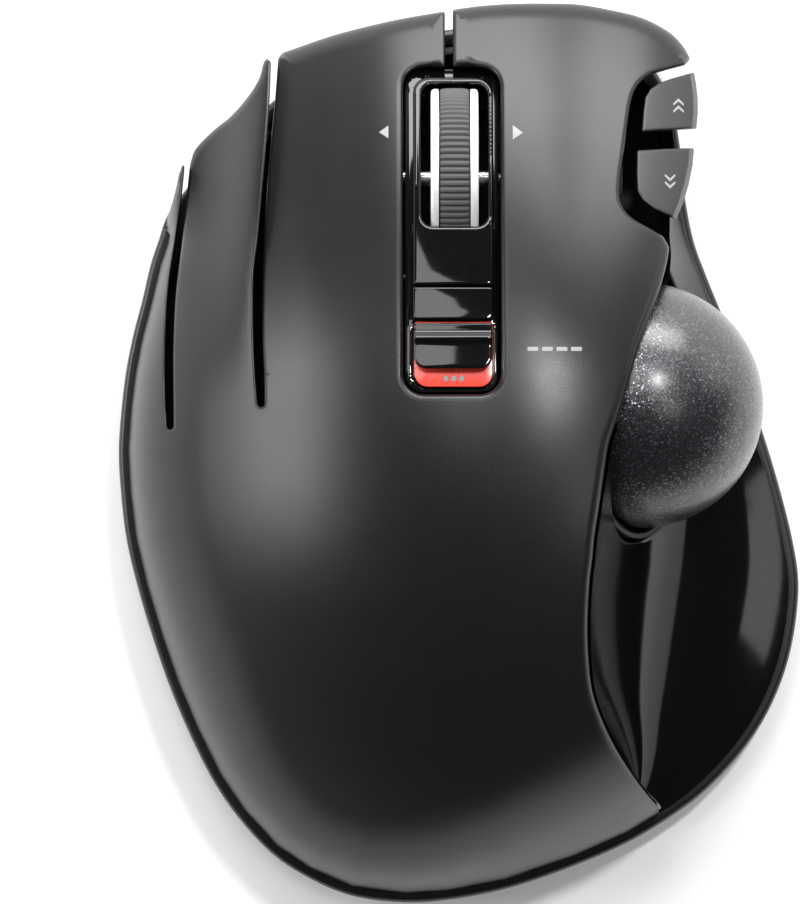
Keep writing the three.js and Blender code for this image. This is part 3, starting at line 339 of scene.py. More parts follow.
# ------------------------------------------------------------------ materials
def nodes_of(name):
    m = bpy.data.materials.new(name)
    m.use_nodes = True
    nt = m.node_tree
    nt.nodes.clear()
    out = nt.nodes.new("ShaderNodeOutputMaterial")
    bs = nt.nodes.new("ShaderNodeBsdfPrincipled")
    nt.links.new(bs.outputs["BSDF"], out.inputs["Surface"])
    return m, nt, bs


def N(nt, kind, **values):
    n = nt.nodes.new(kind)
    for k, v in values.items():
        if hasattr(n, k):
            setattr(n, k, v)
        else:
            n.inputs[k].default_value = v
    return n


def coords(nt):
    return N(nt, "ShaderNodeTexCoord").outputs["Object"]


def ramp(nt, fac, stops):
    r = nt.nodes.new("ShaderNodeValToRGB")
    el = r.color_ramp.elements
    while len(el) > 1:
        el.remove(el[-1])
    el[0].position, el[0].color = stops[0][0], (*stops[0][1], 1)
    for p, c in stops[1:]:
        e = el.new(p)
        e.color = (*c, 1)
    nt.links.new(fac, r.inputs[0])
    return r


def moulded(name, c0, c1, rough=(0.4, 0.55), grain=5200.0, grain_h=0.00002, grain_s=0.35, spec=0.5, coat=0.0, coat_rough=0.1, mottling=60.0):
    """Moulded plastic: two close tones, a fine grain in the relief and uneven gloss."""
    m, nt, bs = nodes_of(name)
    co = coords(nt)
    big = N(nt, "ShaderNodeTexNoise", Scale=mottling, Detail=4.0, Roughness=0.6)
    nt.links.new(co, big.inputs["Vector"])
    fine = N(nt, "ShaderNodeTexNoise", Scale=grain, Detail=3.0, Roughness=0.65)
    nt.links.new(co, fine.inputs["Vector"])
    mix = N(nt, "ShaderNodeMath", operation="MULTIPLY_ADD")
    mix.inputs[1].default_value = 0.6
    nt.links.new(fine.outputs["Fac"], mix.inputs[0])
    half = N(nt, "ShaderNodeMath", operation="MULTIPLY")
    half.inputs[1].default_value = 0.4
    nt.links.new(big.outputs["Fac"], half.inputs[0])
    nt.links.new(half.outputs[0], mix.inputs[2])
    r = ramp(nt, mix.outputs[0], [(0.3, c0), (0.7, c1)])
    nt.links.new(r.outputs["Color"], bs.inputs["Base Color"])
    mr = N(nt, "ShaderNodeMapRange")
    mr.inputs["From Min"].default_value, mr.inputs["From Max"].default_value = 0.3, 0.7
    mr.inputs["To Min"].default_value, mr.inputs["To Max"].default_value = rough
    nt.links.new(mix.outputs[0], mr.inputs["Value"])
    nt.links.new(mr.outputs["Result"], bs.inputs["Roughness"])
    if grain_s > 0:
        b = N(nt, "ShaderNodeBump", Strength=grain_s, Distance=grain_h)
        nt.links.new(fine.outputs["Fac"], b.inputs["Height"])
        nt.links.new(b.outputs["Normal"], bs.inputs["Normal"])
    bs.inputs["Specular IOR Level"].default_value = spec
    bs.inputs["Coat Weight"].default_value = coat
    bs.inputs["Coat Roughness"].default_value = coat_rough
    return m


def lin(v):
    v = v / 255.0
    return v / 12.92 if v <= 0.04045 else ((v + 0.055) / 1.055) ** 2.4


def grey(v, tint=(1, 1, 1)):
    return tuple(lin(v) * t for t in tint)


MATTE = moulded("matte_cover_paint", grey(18, (1, 1, 1.03)), grey(25, (1, 1, 1.04)), rough=(0.28, 0.36), grain=4200, grain_h=0.00003, grain_s=0.30, spec=0.38)
GLOSS = moulded("gloss_black_paint", grey(6), grey(12), rough=(0.05, 0.075), grain=900, grain_h=0.000004, grain_s=0.05, spec=0.42, coat=0.0, mottling=25)
BASE = moulded("base_satin", grey(16), grey(26), rough=(0.30, 0.42), grain=3800, grain_h=0.00002, grain_s=0.25)
DARK = moulded("inner_black", grey(10), grey(18), rough=(0.45, 0.6), grain=3000, grain_h=0.00003, grain_s=0.3)


def ball_material():
    m, nt, bs = nodes_of("ball_flake_lacquer")
    co = coords(nt)
    cells = N(nt, "ShaderNodeTexVoronoi", Scale=5200.0, feature="F1")
    nt.links.new(co, cells.inputs["Vector"])
    sep = N(nt, "ShaderNodeSeparateColor")
    nt.links.new(cells.outputs["Color"], sep.inputs[0])
    r = ramp(nt, sep.outputs[0], [(0.0, (0.004, 0.004, 0.005)), (0.5, (0.010, 0.010, 0.012)), (0.8, (0.032, 0.033, 0.036)), (1.0, (0.16, 0.165, 0.18))])
    r.color_ramp.interpolation = "LINEAR"
    nt.links.new(r.outputs["Color"], bs.inputs["Base Color"])
    metal = ramp(nt, sep.outputs[0], [(0.5, (0.2,) * 3), (0.85, (0.9,) * 3)])
    nt.links.new(metal.outputs["Color"], bs.inputs["Metallic"])
    sub = N(nt, "ShaderNodeVectorMath", operation="SUBTRACT")
    sub.inputs[1].default_value = (0.5, 0.5, 0.5)
    nt.links.new(cells.outputs["Color"], sub.inputs[0])
    sc = N(nt, "ShaderNodeVectorMath", operation="SCALE")
    sc.inputs["Scale"].default_value = 0.34
    nt.links.new(sub.outputs[0], sc.inputs[0])
    geo = N(nt, "ShaderNodeNewGeometry")
    add = N(nt, "ShaderNodeVectorMath", operation="ADD")
    nt.links.new(geo.outputs["Normal"], add.inputs[0])
    nt.links.new(sc.outputs[0], add.inputs[1])
    nrm = N(nt, "ShaderNodeVectorMath", operation="NORMALIZE")
    nt.links.new(add.outputs[0], nrm.inputs[0])
    nt.links.new(nrm.outputs[0], bs.inputs["Normal"])
    bs.inputs["Roughness"].default_value = 0.36
    bs.inputs["Coat Weight"].default_value = 0.85
    bs.inputs["Coat IOR"].default_value = 1.5
    bs.inputs["Coat Roughness"].default_value = 0.27
    return m


BALL_MAT = ball_material()

# ------------------------------------------------------------------ cover: one surface, cut into palm, left button and right button
flange_in = None


def rim_line():
    """Inner edge of the flange, from the front left round the rear to the foot of the seam."""
    f = catmull(FLANGE, 0.8)
    t = np.gradient(f, axis=0)
    t /= np.linalg.norm(t, axis=1, keepdims=True)
    q = f + np.stack([-t[:, 1], t[:, 0]], 1) * RIM_W
    return q


def round_loop(parts, corner=0.35):
    """Joins curve parts into one loop and softens the corners where they meet."""
    pts, tags, rad = [], [], []
    for line, tag in parts:
        for p in line:
            if pts and np.linalg.norm(pts[-1] - p) < 0.05:
                continue
            pts.append(A(p, float)); tags.append(tag)
    pts = A(pts)
    n = len(pts)
    out, ot = [], []
    for i in range(n):
        a, b, c = pts[i - 1], pts[i], pts[(i + 1) % n]
        u, v = b - a, c - b
        lu, lv = np.linalg.norm(u), np.linalg.norm(v)
        cosang = (u @ v) / (lu * lv + 1e-9)
        if cosang < 0.9:
            ra, rc = min(corner, lu * 0.45), min(corner, lv * 0.45)
            p0, p2 = b - u / lu * ra, b + v / lv * rc
            k = 4
            for s in np.linspace(0, 1, k + 1):
                out.append((1 - s) ** 2 * p0 + 2 * s * (1 - s) * b + s * s * p2); ot.append(tags[i])
        else:
            out.append(b); ot.append(tags[i])
    return A(out), ot


rim = rim_line()
seam_end = A(EDGE_R[-1])
cut = next(i for i in range(len(rim)) if rim[i][0] > 20 and rim[i][1] < -40 and np.linalg.norm(rim[i] - seam_end) < 2.2) if any(np.linalg.norm(r - seam_end) < 2.2 for r in rim) else int(np.argmin(np.linalg.norm(rim - seam_end, axis=1)))
cut = int(np.argmin(np.linalg.norm(rim - A([28.3, -50.3]), axis=1)))
start = int(np.argmin(np.linalg.norm(rim - A([-40.9, 30.6]), axis=1)))
rim_part = rim[start:cut + 1][::-1]     # from the seam's foot round the rear to the front left


def arc(c, r, a0, a1, n=10):
    a = np.radians(np.linspace(a0, a1, n))
    return np.stack([c[0] + r * np.cos(a), c[1] + r * np.sin(a)], 1)


x0, x1, y0, y1, rr = CONSOLE
console_loop = np.vstack([[[-2.05, y1]], arc((x0 + rr, y1 - rr), rr, 90, 180), resample([[x0, y1 - rr], [x0, y0 + rr]], 0.9)[1:-1], arc((x0 + rr, y0 + rr), rr, 180, 270), resample([[x0 + rr, y0], [x1 - rr, y0]], 0.9)[1:-1], arc((x1 - rr, y0 + rr), rr, 270, 360), resample([[x1, y0 + rr], [x1, y1 - rr]], 0.9)[1:-1], arc((x1 - rr, y1 - rr), rr, 0, 90), [[-0.95, y1]]])
STEP = 0.7
# kinds: 0 rest front, 1 slit, 2 button tip, 3 split, 4 console edge, 5 notch, 6 ball edge and seam, 7 foot


def refine(line, centre, radius, k):
    """Extra points on the part of a line that lies near a steep corner."""
    out = []
    for a, b in zip(line[:-1], line[1:]):
        m = k if np.linalg.norm((a + b) / 2 - A(centre)) < radius else 1
        out += [a + (b - a) * j / m for j in range(m)]
    return A(out + [line[-1]])


CORNER = [27.7, -49.6]
parts = [
    (catmull(PINKY_EDGE, STEP), 0),
    (catmull(SLIT1_L[::-1], STEP), 1), (arc((-40.2, 3.6), 0.5, 180, 360, 7), 1), (catmull(SLIT1_R, STEP), 1),
    (catmull(RING_EDGE, STEP), 0),
    (catmull(SLIT2_L[::-1], STEP), 1), (arc((-27.5, 6.7), 0.5, 180, 360, 7), 1), (catmull(SLIT2_R, STEP), 1),
    (catmull(TIP_L, STEP), 2), (resample([[-2.05, 61.2], [-2.05, y1 + 0.4]], STEP), 3),
    (console_loop, 4), (resample([[-0.95, y1 + 0.4], [-0.95, 61.5]], STEP), 3),
    (catmull(TIP_R, STEP), 2), (catmull(NOTCH, STEP), 5), (refine(catmull(EDGE_R, STEP), CORNER, 6.0, 4), 6),
    (refine(rim_part, CORNER, 5.0, 4), 7),
]
loop, tags = round_loop(parts)
tags = A(tags)
FILLET = {0: 0.9, 1: 0.42, 2: 2.1, 3: 0.55, 4: 0.85, 5: 0.6, 6: 1.25, 7: 0.12}
LIP = {0: 3.4, 1: 2.6, 2: 6.3, 3: 4.0, 4: 3.0, 5: 4.2, 6: 2.2, 7: 0.0}


def softened(values, n):
    v = A(values, float)
    for _ in range(n):
        v = (np.roll(v, 1) + 2 * v + np.roll(v, -1)) / 4
    return v


edge_r = softened([FILLET[t] for t in tags], 3)
near_corner = smooth(0.4, 6.0, np.linalg.norm(loop - A(CORNER), axis=1))
edge_r = np.where(tags >= 6, 0.12 + (edge_r - 0.12) * near_corner, edge_r)
edge_lip = softened([LIP[t] for t in tags], 2)
foot = softened([1.0 if t == 7 else 0.0 for t in tags], 2)

# the two lines where the buttons grow out of the palm
ROOT_Y = 10.9


def nearest_on_loop(p, mask=None):
    d = np.linalg.norm(loop - A(p), axis=1)
    if mask is not None:
        d = np.where(mask, d, 1e9)
    return int(d.argmin())


ia = nearest_on_loop([-27.08, ROOT_Y], (tags == 1) & (loop[:, 0] > -27.45))
ib = nearest_on_loop([x0, ROOT_Y], (tags == 4) & (loop[:, 0] < -3))
ic = nearest_on_loop([x1, ROOT_Y], (tags == 4) & (loop[:, 0] > 1))
idd = nearest_on_loop([28.5, 29.0], (tags == 5) | (tags == 6))
rootL = resample([loop[ia], loop[ib]], 0.9)
rootR = resample([loop[ic], loop[idd]], 0.9)
extra = np.vstack([rootL[1:-1], rootR[1:-1]])
rows = [0.06, 0.14, 0.26, 0.42, 0.65, 0.95, 1.35, 1.85, 2.5]
P, nb = fill_points(loop, rows, 1.25, extra=extra)
segs = [(i, (i + 1) % nb) for i in range(nb)]
nL, nR = len(rootL) - 2, len(rootR) - 2
chainL = [ia] + list(range(nb, nb + nL)) + [ib]
chainR = [ic] + list(range(nb + nL, nb + nL + nR)) + [idd]
segs += list(zip(chainL[:-1], chainL[1:])) + list(zip(chainR[:-1], chainR[1:]))
Q, F, _ = triangulate(P, segs)
F = A(F)
cen = Q[F].mean(1)
F = F[inside(loop, cen)]
ar = np.cross(Q[F[:, 1]] - Q[F[:, 0]], Q[F[:, 2]] - Q[F[:, 0]])
F[ar < 0] = F[ar < 0][:, ::-1]
F = F[np.abs(ar) > 1e-7]
ring = np.vstack([loop, loop[:1]])
d, i, t = near_line(Q, ring)
pick = lambda v: v[i] * (1 - t) + np.roll(v, -1)[i] * t
r_e, lip_e, foot_e = pick(edge_r), pick(edge_lip), pick(foot)
z_full = top_z(Q[:, 0], Q[:, 1])
drop = np.where(d < r_e, r_e - np.sqrt(np.maximum(r_e ** 2 - (r_e - d) ** 2, 0)), 0)
zt = z_full - drop * (1 - foot_e)
zt = np.maximum(zt, FOOT_Z + 0.35)
ub = under_z(Q[:, 0], Q[:, 1])
lipz = z_full - SHELL - (lip_e - SHELL) * (1 - smooth(1.2, 2.2, d))
zb = np.where(foot_e > 0.5, ub, np.minimum(ub, np.where(d < 2.3, lipz, ub)))
zb = np.maximum(np.minimum(zb, zt - 0.3), FOOT_Z - 0.1)
TOP = np.column_stack([Q, zt])
BOT = np.column_stack([Q, zb])
top_n = vertex_normals(TOP, F)


def cover_height(q):
    d_, i_, t_ = near_line(q, ring)
    r_, f_ = edge_r[i_] * (1 - t_) + np.roll(edge_r, -1)[i_] * t_, foot[i_] * (1 - t_) + np.roll(foot, -1)[i_] * t_
    dr = np.where(d_ < r_, r_ - np.sqrt(np.maximum(r_ ** 2 - (r_ - d_) ** 2, 0)), 0)
    return top_z(q[:, 0], q[:, 1]) - dr * (1 - f_)


hh = np.clip(d * 0.45, 0.004, 0.05)[:, None]
gx = (cover_height(Q + hh * [1, 0]) - cover_height(Q - hh * [1, 0])) / (2 * hh[:, 0])
gy = (cover_height(Q + hh * [0, 1]) - cover_height(Q - hh * [0, 1])) / (2 * hh[:, 0])
an = np.column_stack([-gx, -gy, np.ones(len(Q))])
an /= np.linalg.norm(an, axis=1, keepdims=True)
use = d > 0.03
top_n[use] = an[use]
# along the foot the surface meets the flange standing up
at_foot = (d <= 0.03) & (foot_e > 0.5)
near_row = near_line(Q[at_foot], ring)[1]
tang = ring[near_row + 1] - ring[near_row]
tang /= np.linalg.norm(tang, axis=1, keepdims=True) + 1e-9
side = np.column_stack([tang[:, 1], -tang[:, 0], np.full(len(tang), 0.12)]) * [[1.0 if area(loop) > 0 else -1.0, 1.0 if area(loop) > 0 else -1.0, 1.0]]
top_n[at_foot] = side / np.linalg.norm(side, axis=1, keepdims=True)

cen = Q[F].mean(1)
polyL = np.vstack([rootL, [[x0 + 2, 14], [x0 + 2, y1 - 2], [-1.5, y1 - 2], [-1.5, 75], [-26.0, 75]], SLIT2[::-1][:-2]])
polyR = np.vstack([rootR, [[60, 29], [60, 80], [-1.5, 80], [-1.5, y1 - 2], [x1 - 2, y1 - 2], [x1 - 2, 14]]])
inL = inside(polyL, cen) & (cen[:, 0] < -1.5)
inR = inside(polyR, cen) & ~inL
palm = shell_object("palm_shell", TOP, BOT, F[~inL & ~inR], MATTE, top_n)
left = shell_object("left_button_shell", TOP, BOT, F[inL], MATTE, top_n)
right = shell_object("right_button_shell", TOP, BOT, F[inR], MATTE, top_n)
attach(palm, "case"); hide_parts("palm_cover")
mid = (rootL[0] + rootL[-1]) / 2
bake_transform(left)
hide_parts("left_main_button")
dR = rootR[-1] - rootR[0]; dR /= np.linalg.norm(dR)
mid = rootR.mean(0); e = mid + A([-dR[1], dR[0]]) * 8
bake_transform(right)
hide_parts("right_main_button")
print("cover points", len(Q), "triangles", len(F), [len(o.data.polygons) for o in (palm, left, right)])

# ------------------------------------------------------------------ gloss thumb rest: rows from the seam down to the flange, opened round the ball
def even(line, n):
    l = catmull(line, 0.2)
    s = np.concatenate([[0], np.cumsum(np.linalg.norm(np.diff(l, axis=0), axis=1))])
    t_ = np.linspace(0, s[-1], n)
    return np.stack([np.interp(t_, s, l[:, k]) for k in range(l.shape[1])], 1)


def fall(d, r):
    return np.where(d < r, r - np.sqrt(np.maximum(r ** 2 - (r - d) ** 2, 0)), 0)


def sheet(name, point, length, width, material, thick, roll_r, want=(1, 0, 0.4), floor_z=None, grid=0.85):
    """A panel drawn as point(r, u), r and u from 0 to 1, opened along the ball's sphere with a rolled rim. The opening starts at the first rows."""
    nr, nu_ = 320, 480
    rr_, uu = np.linspace(0, 1, nr), np.linspace(0, 1, nu_)
    f = np.linalg.norm(point(np.repeat(rr_, nu_), np.tile(uu, nr)) - BALL, axis=1).reshape(nr, nu_) - GAP_R
    inn, out = [], []
    last = None
    for k in range(nr):
        bad = np.nonzero(f[k] < 0)[0]
        if not len(bad): continue
        i0, i1 = bad[0], bad[-1]
        last = rr_[k]
        if i0 > 0:
            w_ = f[k, i0 - 1] / (f[k, i0 - 1] - f[k, i0])
            inn.append([rr_[k], uu[i0 - 1] + w_ * (uu[i0] - uu[i0 - 1])])
        if i1 < nu_ - 1:
            w_ = f[k, i1] / (f[k, i1] - f[k, i1 + 1])
            out.append([rr_[k], uu[i1] + w_ * (uu[i1 + 1] - uu[i1])])
    inn, out = A(inn), A(out)
    tip = [[last + 0.25 / nr, (inn[-1][1] + out[-1][1]) / 2]] if len(inn) else []
    first_u = [[inn[0][0], 0.0]] if len(inn) else []
    path = [[0.0, out[0][1]], [0.0, 1.0], [1.0, 1.0], [1.0, 0.0]] + first_u
    S = A([length, width])
    ring_ = [resample(A(path) * S, 0.5)]
    if len(inn): ring_.append(resample(np.vstack([inn[1:], tip, out[::-1][:-1]]) * S, 0.4))
    else: ring_.append(resample(np.vstack([[[last, 0.0]], out[::-1][:-1]]) * S, 0.4))
    loop_ = np.vstack(ring_)
    keep_ = [0]
    for k in range(1, len(loop_)):
        if np.linalg.norm(loop_[k] - loop_[keep_[-1]]) > 0.12: keep_.append(k)
    loop_ = loop_[keep_]
    if np.linalg.norm(loop_[0] - loop_[-1]) < 0.12: loop_ = loop_[:-1]
    if area(loop_) < 0: loop_ = loop_[::-1]
    P_, nb_ = fill_points(loop_, [0.08, 0.2, 0.36, 0.56, 0.85, 1.25], grid)
    Q_, F_, _o = triangulate(P_, [(k, (k + 1) % nb_) for k in range(nb_)])
    F_ = A(F_)
    F_ = F_[inside(loop_, Q_[F_].mean(1))]
    a_ = np.cross(Q_[F_[:, 1]] - Q_[F_[:, 0]], Q_[F_[:, 2]] - Q_[F_[:, 0]])
    F_[a_ < 0] = F_[a_ < 0][:, ::-1]
    F_ = F_[np.abs(a_) > 1e-7]
    q = Q_ / S
    V_ = point(q[:, 0], q[:, 1])
    h = 1e-3
    def diff(ax):
        lo_, hi_ = q.copy(), q.copy()
        lo_[:, ax] = np.clip(q[:, ax] - h, 0, 1); hi_[:, ax] = np.clip(q[:, ax] + h, 0, 1)
        return point(hi_[:, 0], hi_[:, 1]) - point(lo_[:, 0], lo_[:, 1])
    nn = np.cross(diff(0), diff(1))
    nn /= np.linalg.norm(nn, axis=1, keepdims=True) + 1e-12
    if (nn @ A(want, float)).sum() < 0:
        nn = -nn
        F_ = F_[:, ::-1]
    fq = np.maximum(np.linalg.norm(V_ - BALL, axis=1) - GAP_R, 0)
    O = V_ - nn * fall(fq, roll_r)[:, None]
    I = V_ - nn * (thick(q[:, 0])[:, None] if callable(thick) else thick)
    if floor_z is not None:
        O[:, 2] = np.maximum(O[:, 2], floor_z); I[:, 2] = np.maximum(I[:, 2], floor_z - 0.1)
    tn = vertex_normals(O, F_)
    far = (fq > roll_r * 1.05)
    tn[far] = nn[far]
    return shell_object(name, O, I, F_, material, tn)


def mark_sharp(ob, deg):
    """Keeps hard edges hard on a smooth-shaded mesh."""
    me = ob.data
    n_p = len(me.polygons)
    nrm = np.zeros(n_p * 3); me.polygons.foreach_get("normal", nrm); nrm = nrm.reshape(-1, 3)
    tot = np.zeros(n_p, int); me.polygons.foreach_get("loop_total", tot)
    le = np.zeros(len(me.loops), int); me.loops.foreach_get("edge_index", le)
    owner = np.repeat(np.arange(n_p), tot)
    ne = len(me.edges)
    count = np.bincount(le, minlength=ne)
    order = np.argsort(le, kind="stable")
    first = np.concatenate([[0], np.cumsum(count)[:-1]])
    ok = count == 2
    f0 = owner[order[first[ok]]]; f1 = owner[order[first[ok] + 1]]
    sharp = np.ones(ne, bool)
    sharp[np.nonzero(ok)[0]] = (nrm[f0] * nrm[f1]).sum(1) < math.cos(math.radians(deg))
    at = me.attributes.get("sharp_edge") or me.attributes.new("sharp_edge", "BOOLEAN", "EDGE")
    at.data.foreach_set("value", sharp)
    me.update()


NR = 190
seam_pts = even([[22.6, 7.9], [21.9, 5.4], [20.5, 1.4], [19.8, -2.5], [19.0, -7.8], [18.4, -11.7]] + [list(p) for p in EDGE_R[11:]] + [[27.6, -49.6]], NR) + A([0.42, -0.1])
rf = catmull([[39.6, 7.9]] + FLANGE[22:35][::-1], 0.3)
rt = np.gradient(rf, axis=0); rt /= np.linalg.norm(rt, axis=1, keepdims=True)
rest_foot = even(rf + np.stack([rt[:, 1], -rt[:, 0]], 1) * (RIM_W + 0.02), int(NR / 0.985) + 1)[:NR]
seam_z = top_z(seam_pts[:, 0] - 0.9, seam_pts[:, 1]) - 1.5
_d, _i, _t = near_line(seam_pts, ring)
at_end = 1 - smooth(0.5, 5.0, np.linalg.norm(seam_pts - A(CORNER), axis=1))
seam_z = np.minimum(seam_z, TOP[_i, 2] * (1 - _t) + TOP[(_i + 1) % nb, 2] * _t - 0.12 - 0.4 * at_end)
seam_z = np.maximum(seam_z, FOOT_Z + 0.1 - 0.25 * at_end)
seam_pts = seam_pts + at_end[:, None] * A([0.16, 0.08])


def along(line, r):
    k = np.clip(r, 0, 1) * (len(line) - 1)
    return np.interp(k, np.arange(len(line)), line)


def rest_point(r, u):
    e = u * (0.45 + 0.55 * u)
    g = (np.exp(-3.67 * e) - math.exp(-3.67)) / (1 - math.exp(-3.67))
    sx, sy, fx, fy, sz = [along(l, r) for l in (seam_pts[:, 0], seam_pts[:, 1], rest_foot[:, 0], rest_foot[:, 1], seam_z)]
    return np.stack([sx + (fx - sx) * e, sy + (fy - sy) * e, FOOT_Z + 0.05 + (sz - FOOT_Z - 0.05) * g], -1)


seam_z = np.minimum(np.convolve(np.pad(seam_z, 6, mode="edge"), np.ones(13) / 13, "valid"), seam_z + 0.02)
REST_GLOSS = moulded("gloss_thumb_rest_paint", grey(5), grey(10), rough=(0.06, 0.09), grain=900, grain_h=0.000004, grain_s=0.05, spec=0.31, coat=0.0, mottling=25)
rest = sheet("thumb_rest_sweep", rest_point, 62, 24, REST_GLOSS, lambda r: 1.3 - 1.17 * smooth(0.82, 0.92, r), 0.6, want=(1, 0, 1), floor_z=FOOT_Z - 0.2)
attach(rest, "case"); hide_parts("thumb_rest")

# ------------------------------------------------------------------ ball
bm_v, bm_f = [], []
nu, nv = 128, 64
for a_i in range(1, nv):
    for b_i in range(nu):
        th, ph = math.pi * a_i / nv, 2 * math.pi * b_i / nu
        bm_v.append(BALL + BALL_R * A([math.sin(th) * math.cos(ph), math.sin(th) * math.sin(ph), math.cos(th)]))
bm_v += [BALL + [0, 0, BALL_R], BALL - [0, 0, BALL_R]]
for a_i in range(nv - 2):
    for b_i in range(nu):
        p, q = a_i * nu + b_i, a_i * nu + (b_i + 1) % nu
        bm_f.append((p, p + nu, q + nu, q))
for b_i in range(nu):
    bm_f.append((len(bm_v) - 2, b_i, (b_i + 1) % nu))
    k = (nv - 2) * nu
    bm_f.append((len(bm_v) - 1, k + (b_i + 1) % nu, k + b_i))
ball = new_object("lacquered_ball", bm_v, bm_f, BALL_MAT)
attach(ball, "ball"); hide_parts("trackball")

# ------------------------------------------------------------------ helper for smaller moulded pieces seen in plan
def rrect(x0, x1, y0, y1, r, n=7):
    """Rounded rectangle; r is one radius or four, in the order rear right, front right, front left, rear left."""
    r = [r] * 4 if np.isscalar(r) else r
    out = []
    for (cx, cy, a0, q) in ((x1 - r[0], y0 + r[0], -90, r[0]), (x1 - r[1], y1 - r[1], 0, r[1]), (x0 + r[2], y1 - r[2], 90, r[2]), (x0 + r[3], y0 + r[3], 180, r[3])):
        m = max(2, n if q > 0.3 else 3)
        for k in range(m):
            a = math.radians(a0 + 90 * k / (m - 1))
            out.append([cx + q * math.cos(a), cy + q * math.sin(a)])
    return A(out)


def circle(x, y, r, n=32):
    a = np.linspace(0, 2 * math.pi, n, endpoint=False)
    return np.stack([x + r * np.cos(a), y + r * np.sin(a)], 1)


def densify(loop, step):
    out = []
    for k in range(len(loop)):
        a, b = loop[k], loop[(k + 1) % len(loop)]
        n = max(1, int(math.ceil(np.linalg.norm(b - a) / step)))
        for i in range(n):
            out.append(a + (b - a) * i / n)
    return A(out)


def slab(name, outline, top, bottom, material, r=0.3, r_low=0.0, holes=(), step=1.0, rows=None, mapping=None, seg=0.6, hole_r=None, clean=True):
    """A closed moulded piece over plan: top and bottom are heights or functions of x and y, edges rounded by r above and r_low below."""
    ft = top if callable(top) else (lambda x, y: np.full(len(x), float(top)))
    fb = bottom if callable(bottom) else (lambda x, y: np.full(len(x), float(bottom)))
    outline = A(outline, float)
    if area(outline) < 0: outline = outline[::-1]
    rings = [densify(outline, seg)]
    for h in holes:
        h = A(h, float)
        if area(h) > 0: h = h[::-1]
        rings.append(densify(h, seg))
    R = max(r, r_low, 0.02)
    rows = rows if rows is not None else [R * k for k in ((0.08, 0.25, 0.5, 0.8, 1.1) if R > 0.12 else (0.4, 1.1))]
    pts, segs, count = [], [], 0
    for q in rings:
        pts.append(q)
        segs += [(count + k, count + (k + 1) % len(q)) for k in range(len(q))]
        count += len(q)
    closed = [np.vstack([q, q[:1]]) for q in rings]

    def ok(p, lim):
        m = inside(rings[0], p)
        for q in rings[1:]:
            m &= ~inside(q, p)
        for c in closed:
            m &= near_line(p, c)[0] > lim
        return m
    for q in rings:
        t = np.roll(q, -1, 0) - np.roll(q, 1, 0)
        t /= np.linalg.norm(t, axis=1, keepdims=True) + 1e-12
        nin = np.stack([-t[:, 1], t[:, 0]], 1)
        for w_ in rows:
            p = q + nin * w_
            p = p[ok(p, 0.93 * w_)]
            pts.append(p)
    x0_, y0_ = rings[0].min(0); x1_, y1_ = rings[0].max(0)
    gx, gy = np.meshgrid(np.arange(x0_ + step * 0.4, x1_, step), np.arange(y0_ + step * 0.37, y1_, step))
    g = np.stack([gx.ravel(), gy.ravel()], 1)
    if len(g):
        g = g[ok(g, rows[-1] + 0.45 * step)]
        pts.append(g)
    P_ = np.vstack(pts)
    # points that fall on one another are thinned out, the rings are kept
    seen, keep = set(), []
    for k, p in enumerate(P_):
        c = (round(p[0] / 0.045), round(p[1] / 0.045))
        if k >= count and c in seen: continue
        seen.add(c); keep.append(k)
    P_ = P_[keep]
    Q_, F_, _o = triangulate(P_, segs)
    F_ = A(F_)
    c_ = Q_[F_].mean(1)
    m = inside(rings[0], c_)
    for q in rings[1:]:
        m &= ~inside(q, c_)
    F_ = F_[m]
    a_ = np.cross(Q_[F_[:, 1]] - Q_[F_[:, 0]], Q_[F_[:, 2]] - Q_[F_[:, 0]])
    F_[a_ < 0] = F_[a_ < 0][:, ::-1]
    F_ = F_[np.abs(a_) > 1e-8]
    dd = np.min([near_line(Q_, c)[0] for c in closed], axis=0) if hole_r is None else None
    if dd is not None:
        up = fall(dd, r)
    else:
        up = fall(near_line(Q_, closed[0])[0], r)
        for c in closed[1:]:
            up = np.maximum(up, fall(near_line(Q_, c)[0], hole_r))
        dd = np.min([near_line(Q_, c)[0] for c in closed], axis=0)
    zt_ = ft(Q_[:, 0], Q_[:, 1]) - up
    zb_ = fb(Q_[:, 0], Q_[:, 1]) + fall(dd, r_low)
    zb_ = np.minimum(zb_, zt_ - 0.02)
    T_, B_ = np.column_stack([Q_, zt_]), np.column_stack([Q_, zb_])
    if mapping:
        T_, B_ = mapping(T_), mapping(B_)
    return shell_object(name, T_, B_, F_, material, None)


def keep(ob, body="case", slot=None, replaces=()):
    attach(ob, body)
    if replaces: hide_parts(*replaces)
    return ob


def lathe(name, profile, axis, centre, material, n=64, angle0=0.0):
    """A turned piece: profile is (radius, distance along the axis), closed onto itself."""
    axis = A(axis, float); axis /= np.linalg.norm(axis)
    u = np.cross(axis, [0, 0, 1.0])
    if np.linalg.norm(u) < 1e-6: u = A([1.0, 0, 0])
    u /= np.linalg.norm(u); v = np.cross(axis, u)
    pr = A(profile, float)
    verts, faces = [], []
    for k in range(n):
        a = angle0 + 2 * math.pi * k / n
        d_ = math.cos(a) * u + math.sin(a) * v
        for rad, s in pr:
            verts.append(A(centre) + axis * s + d_ * rad)
    m = len(pr)
    for k in range(n):
        for j in range(m):
            a, b = k * m + j, k * m + (j + 1) % m
            c, d_ = ((k + 1) % n) * m + (j + 1) % m, ((k + 1) % n) * m + j
            faces.append((a, d_, c, b))
    V_ = A(verts)
    # faces out: compare with the area of the profile
    s = 0.5 * float((pr[:, 1] * np.roll(pr[:, 0], -1) - np.roll(pr[:, 1], -1) * pr[:, 0]).sum())
    if s < 0: faces = [f[::-1] for f in faces]
    ob = new_object(name, V_, faces, material)
    mark_sharp(ob, 38)
    return ob


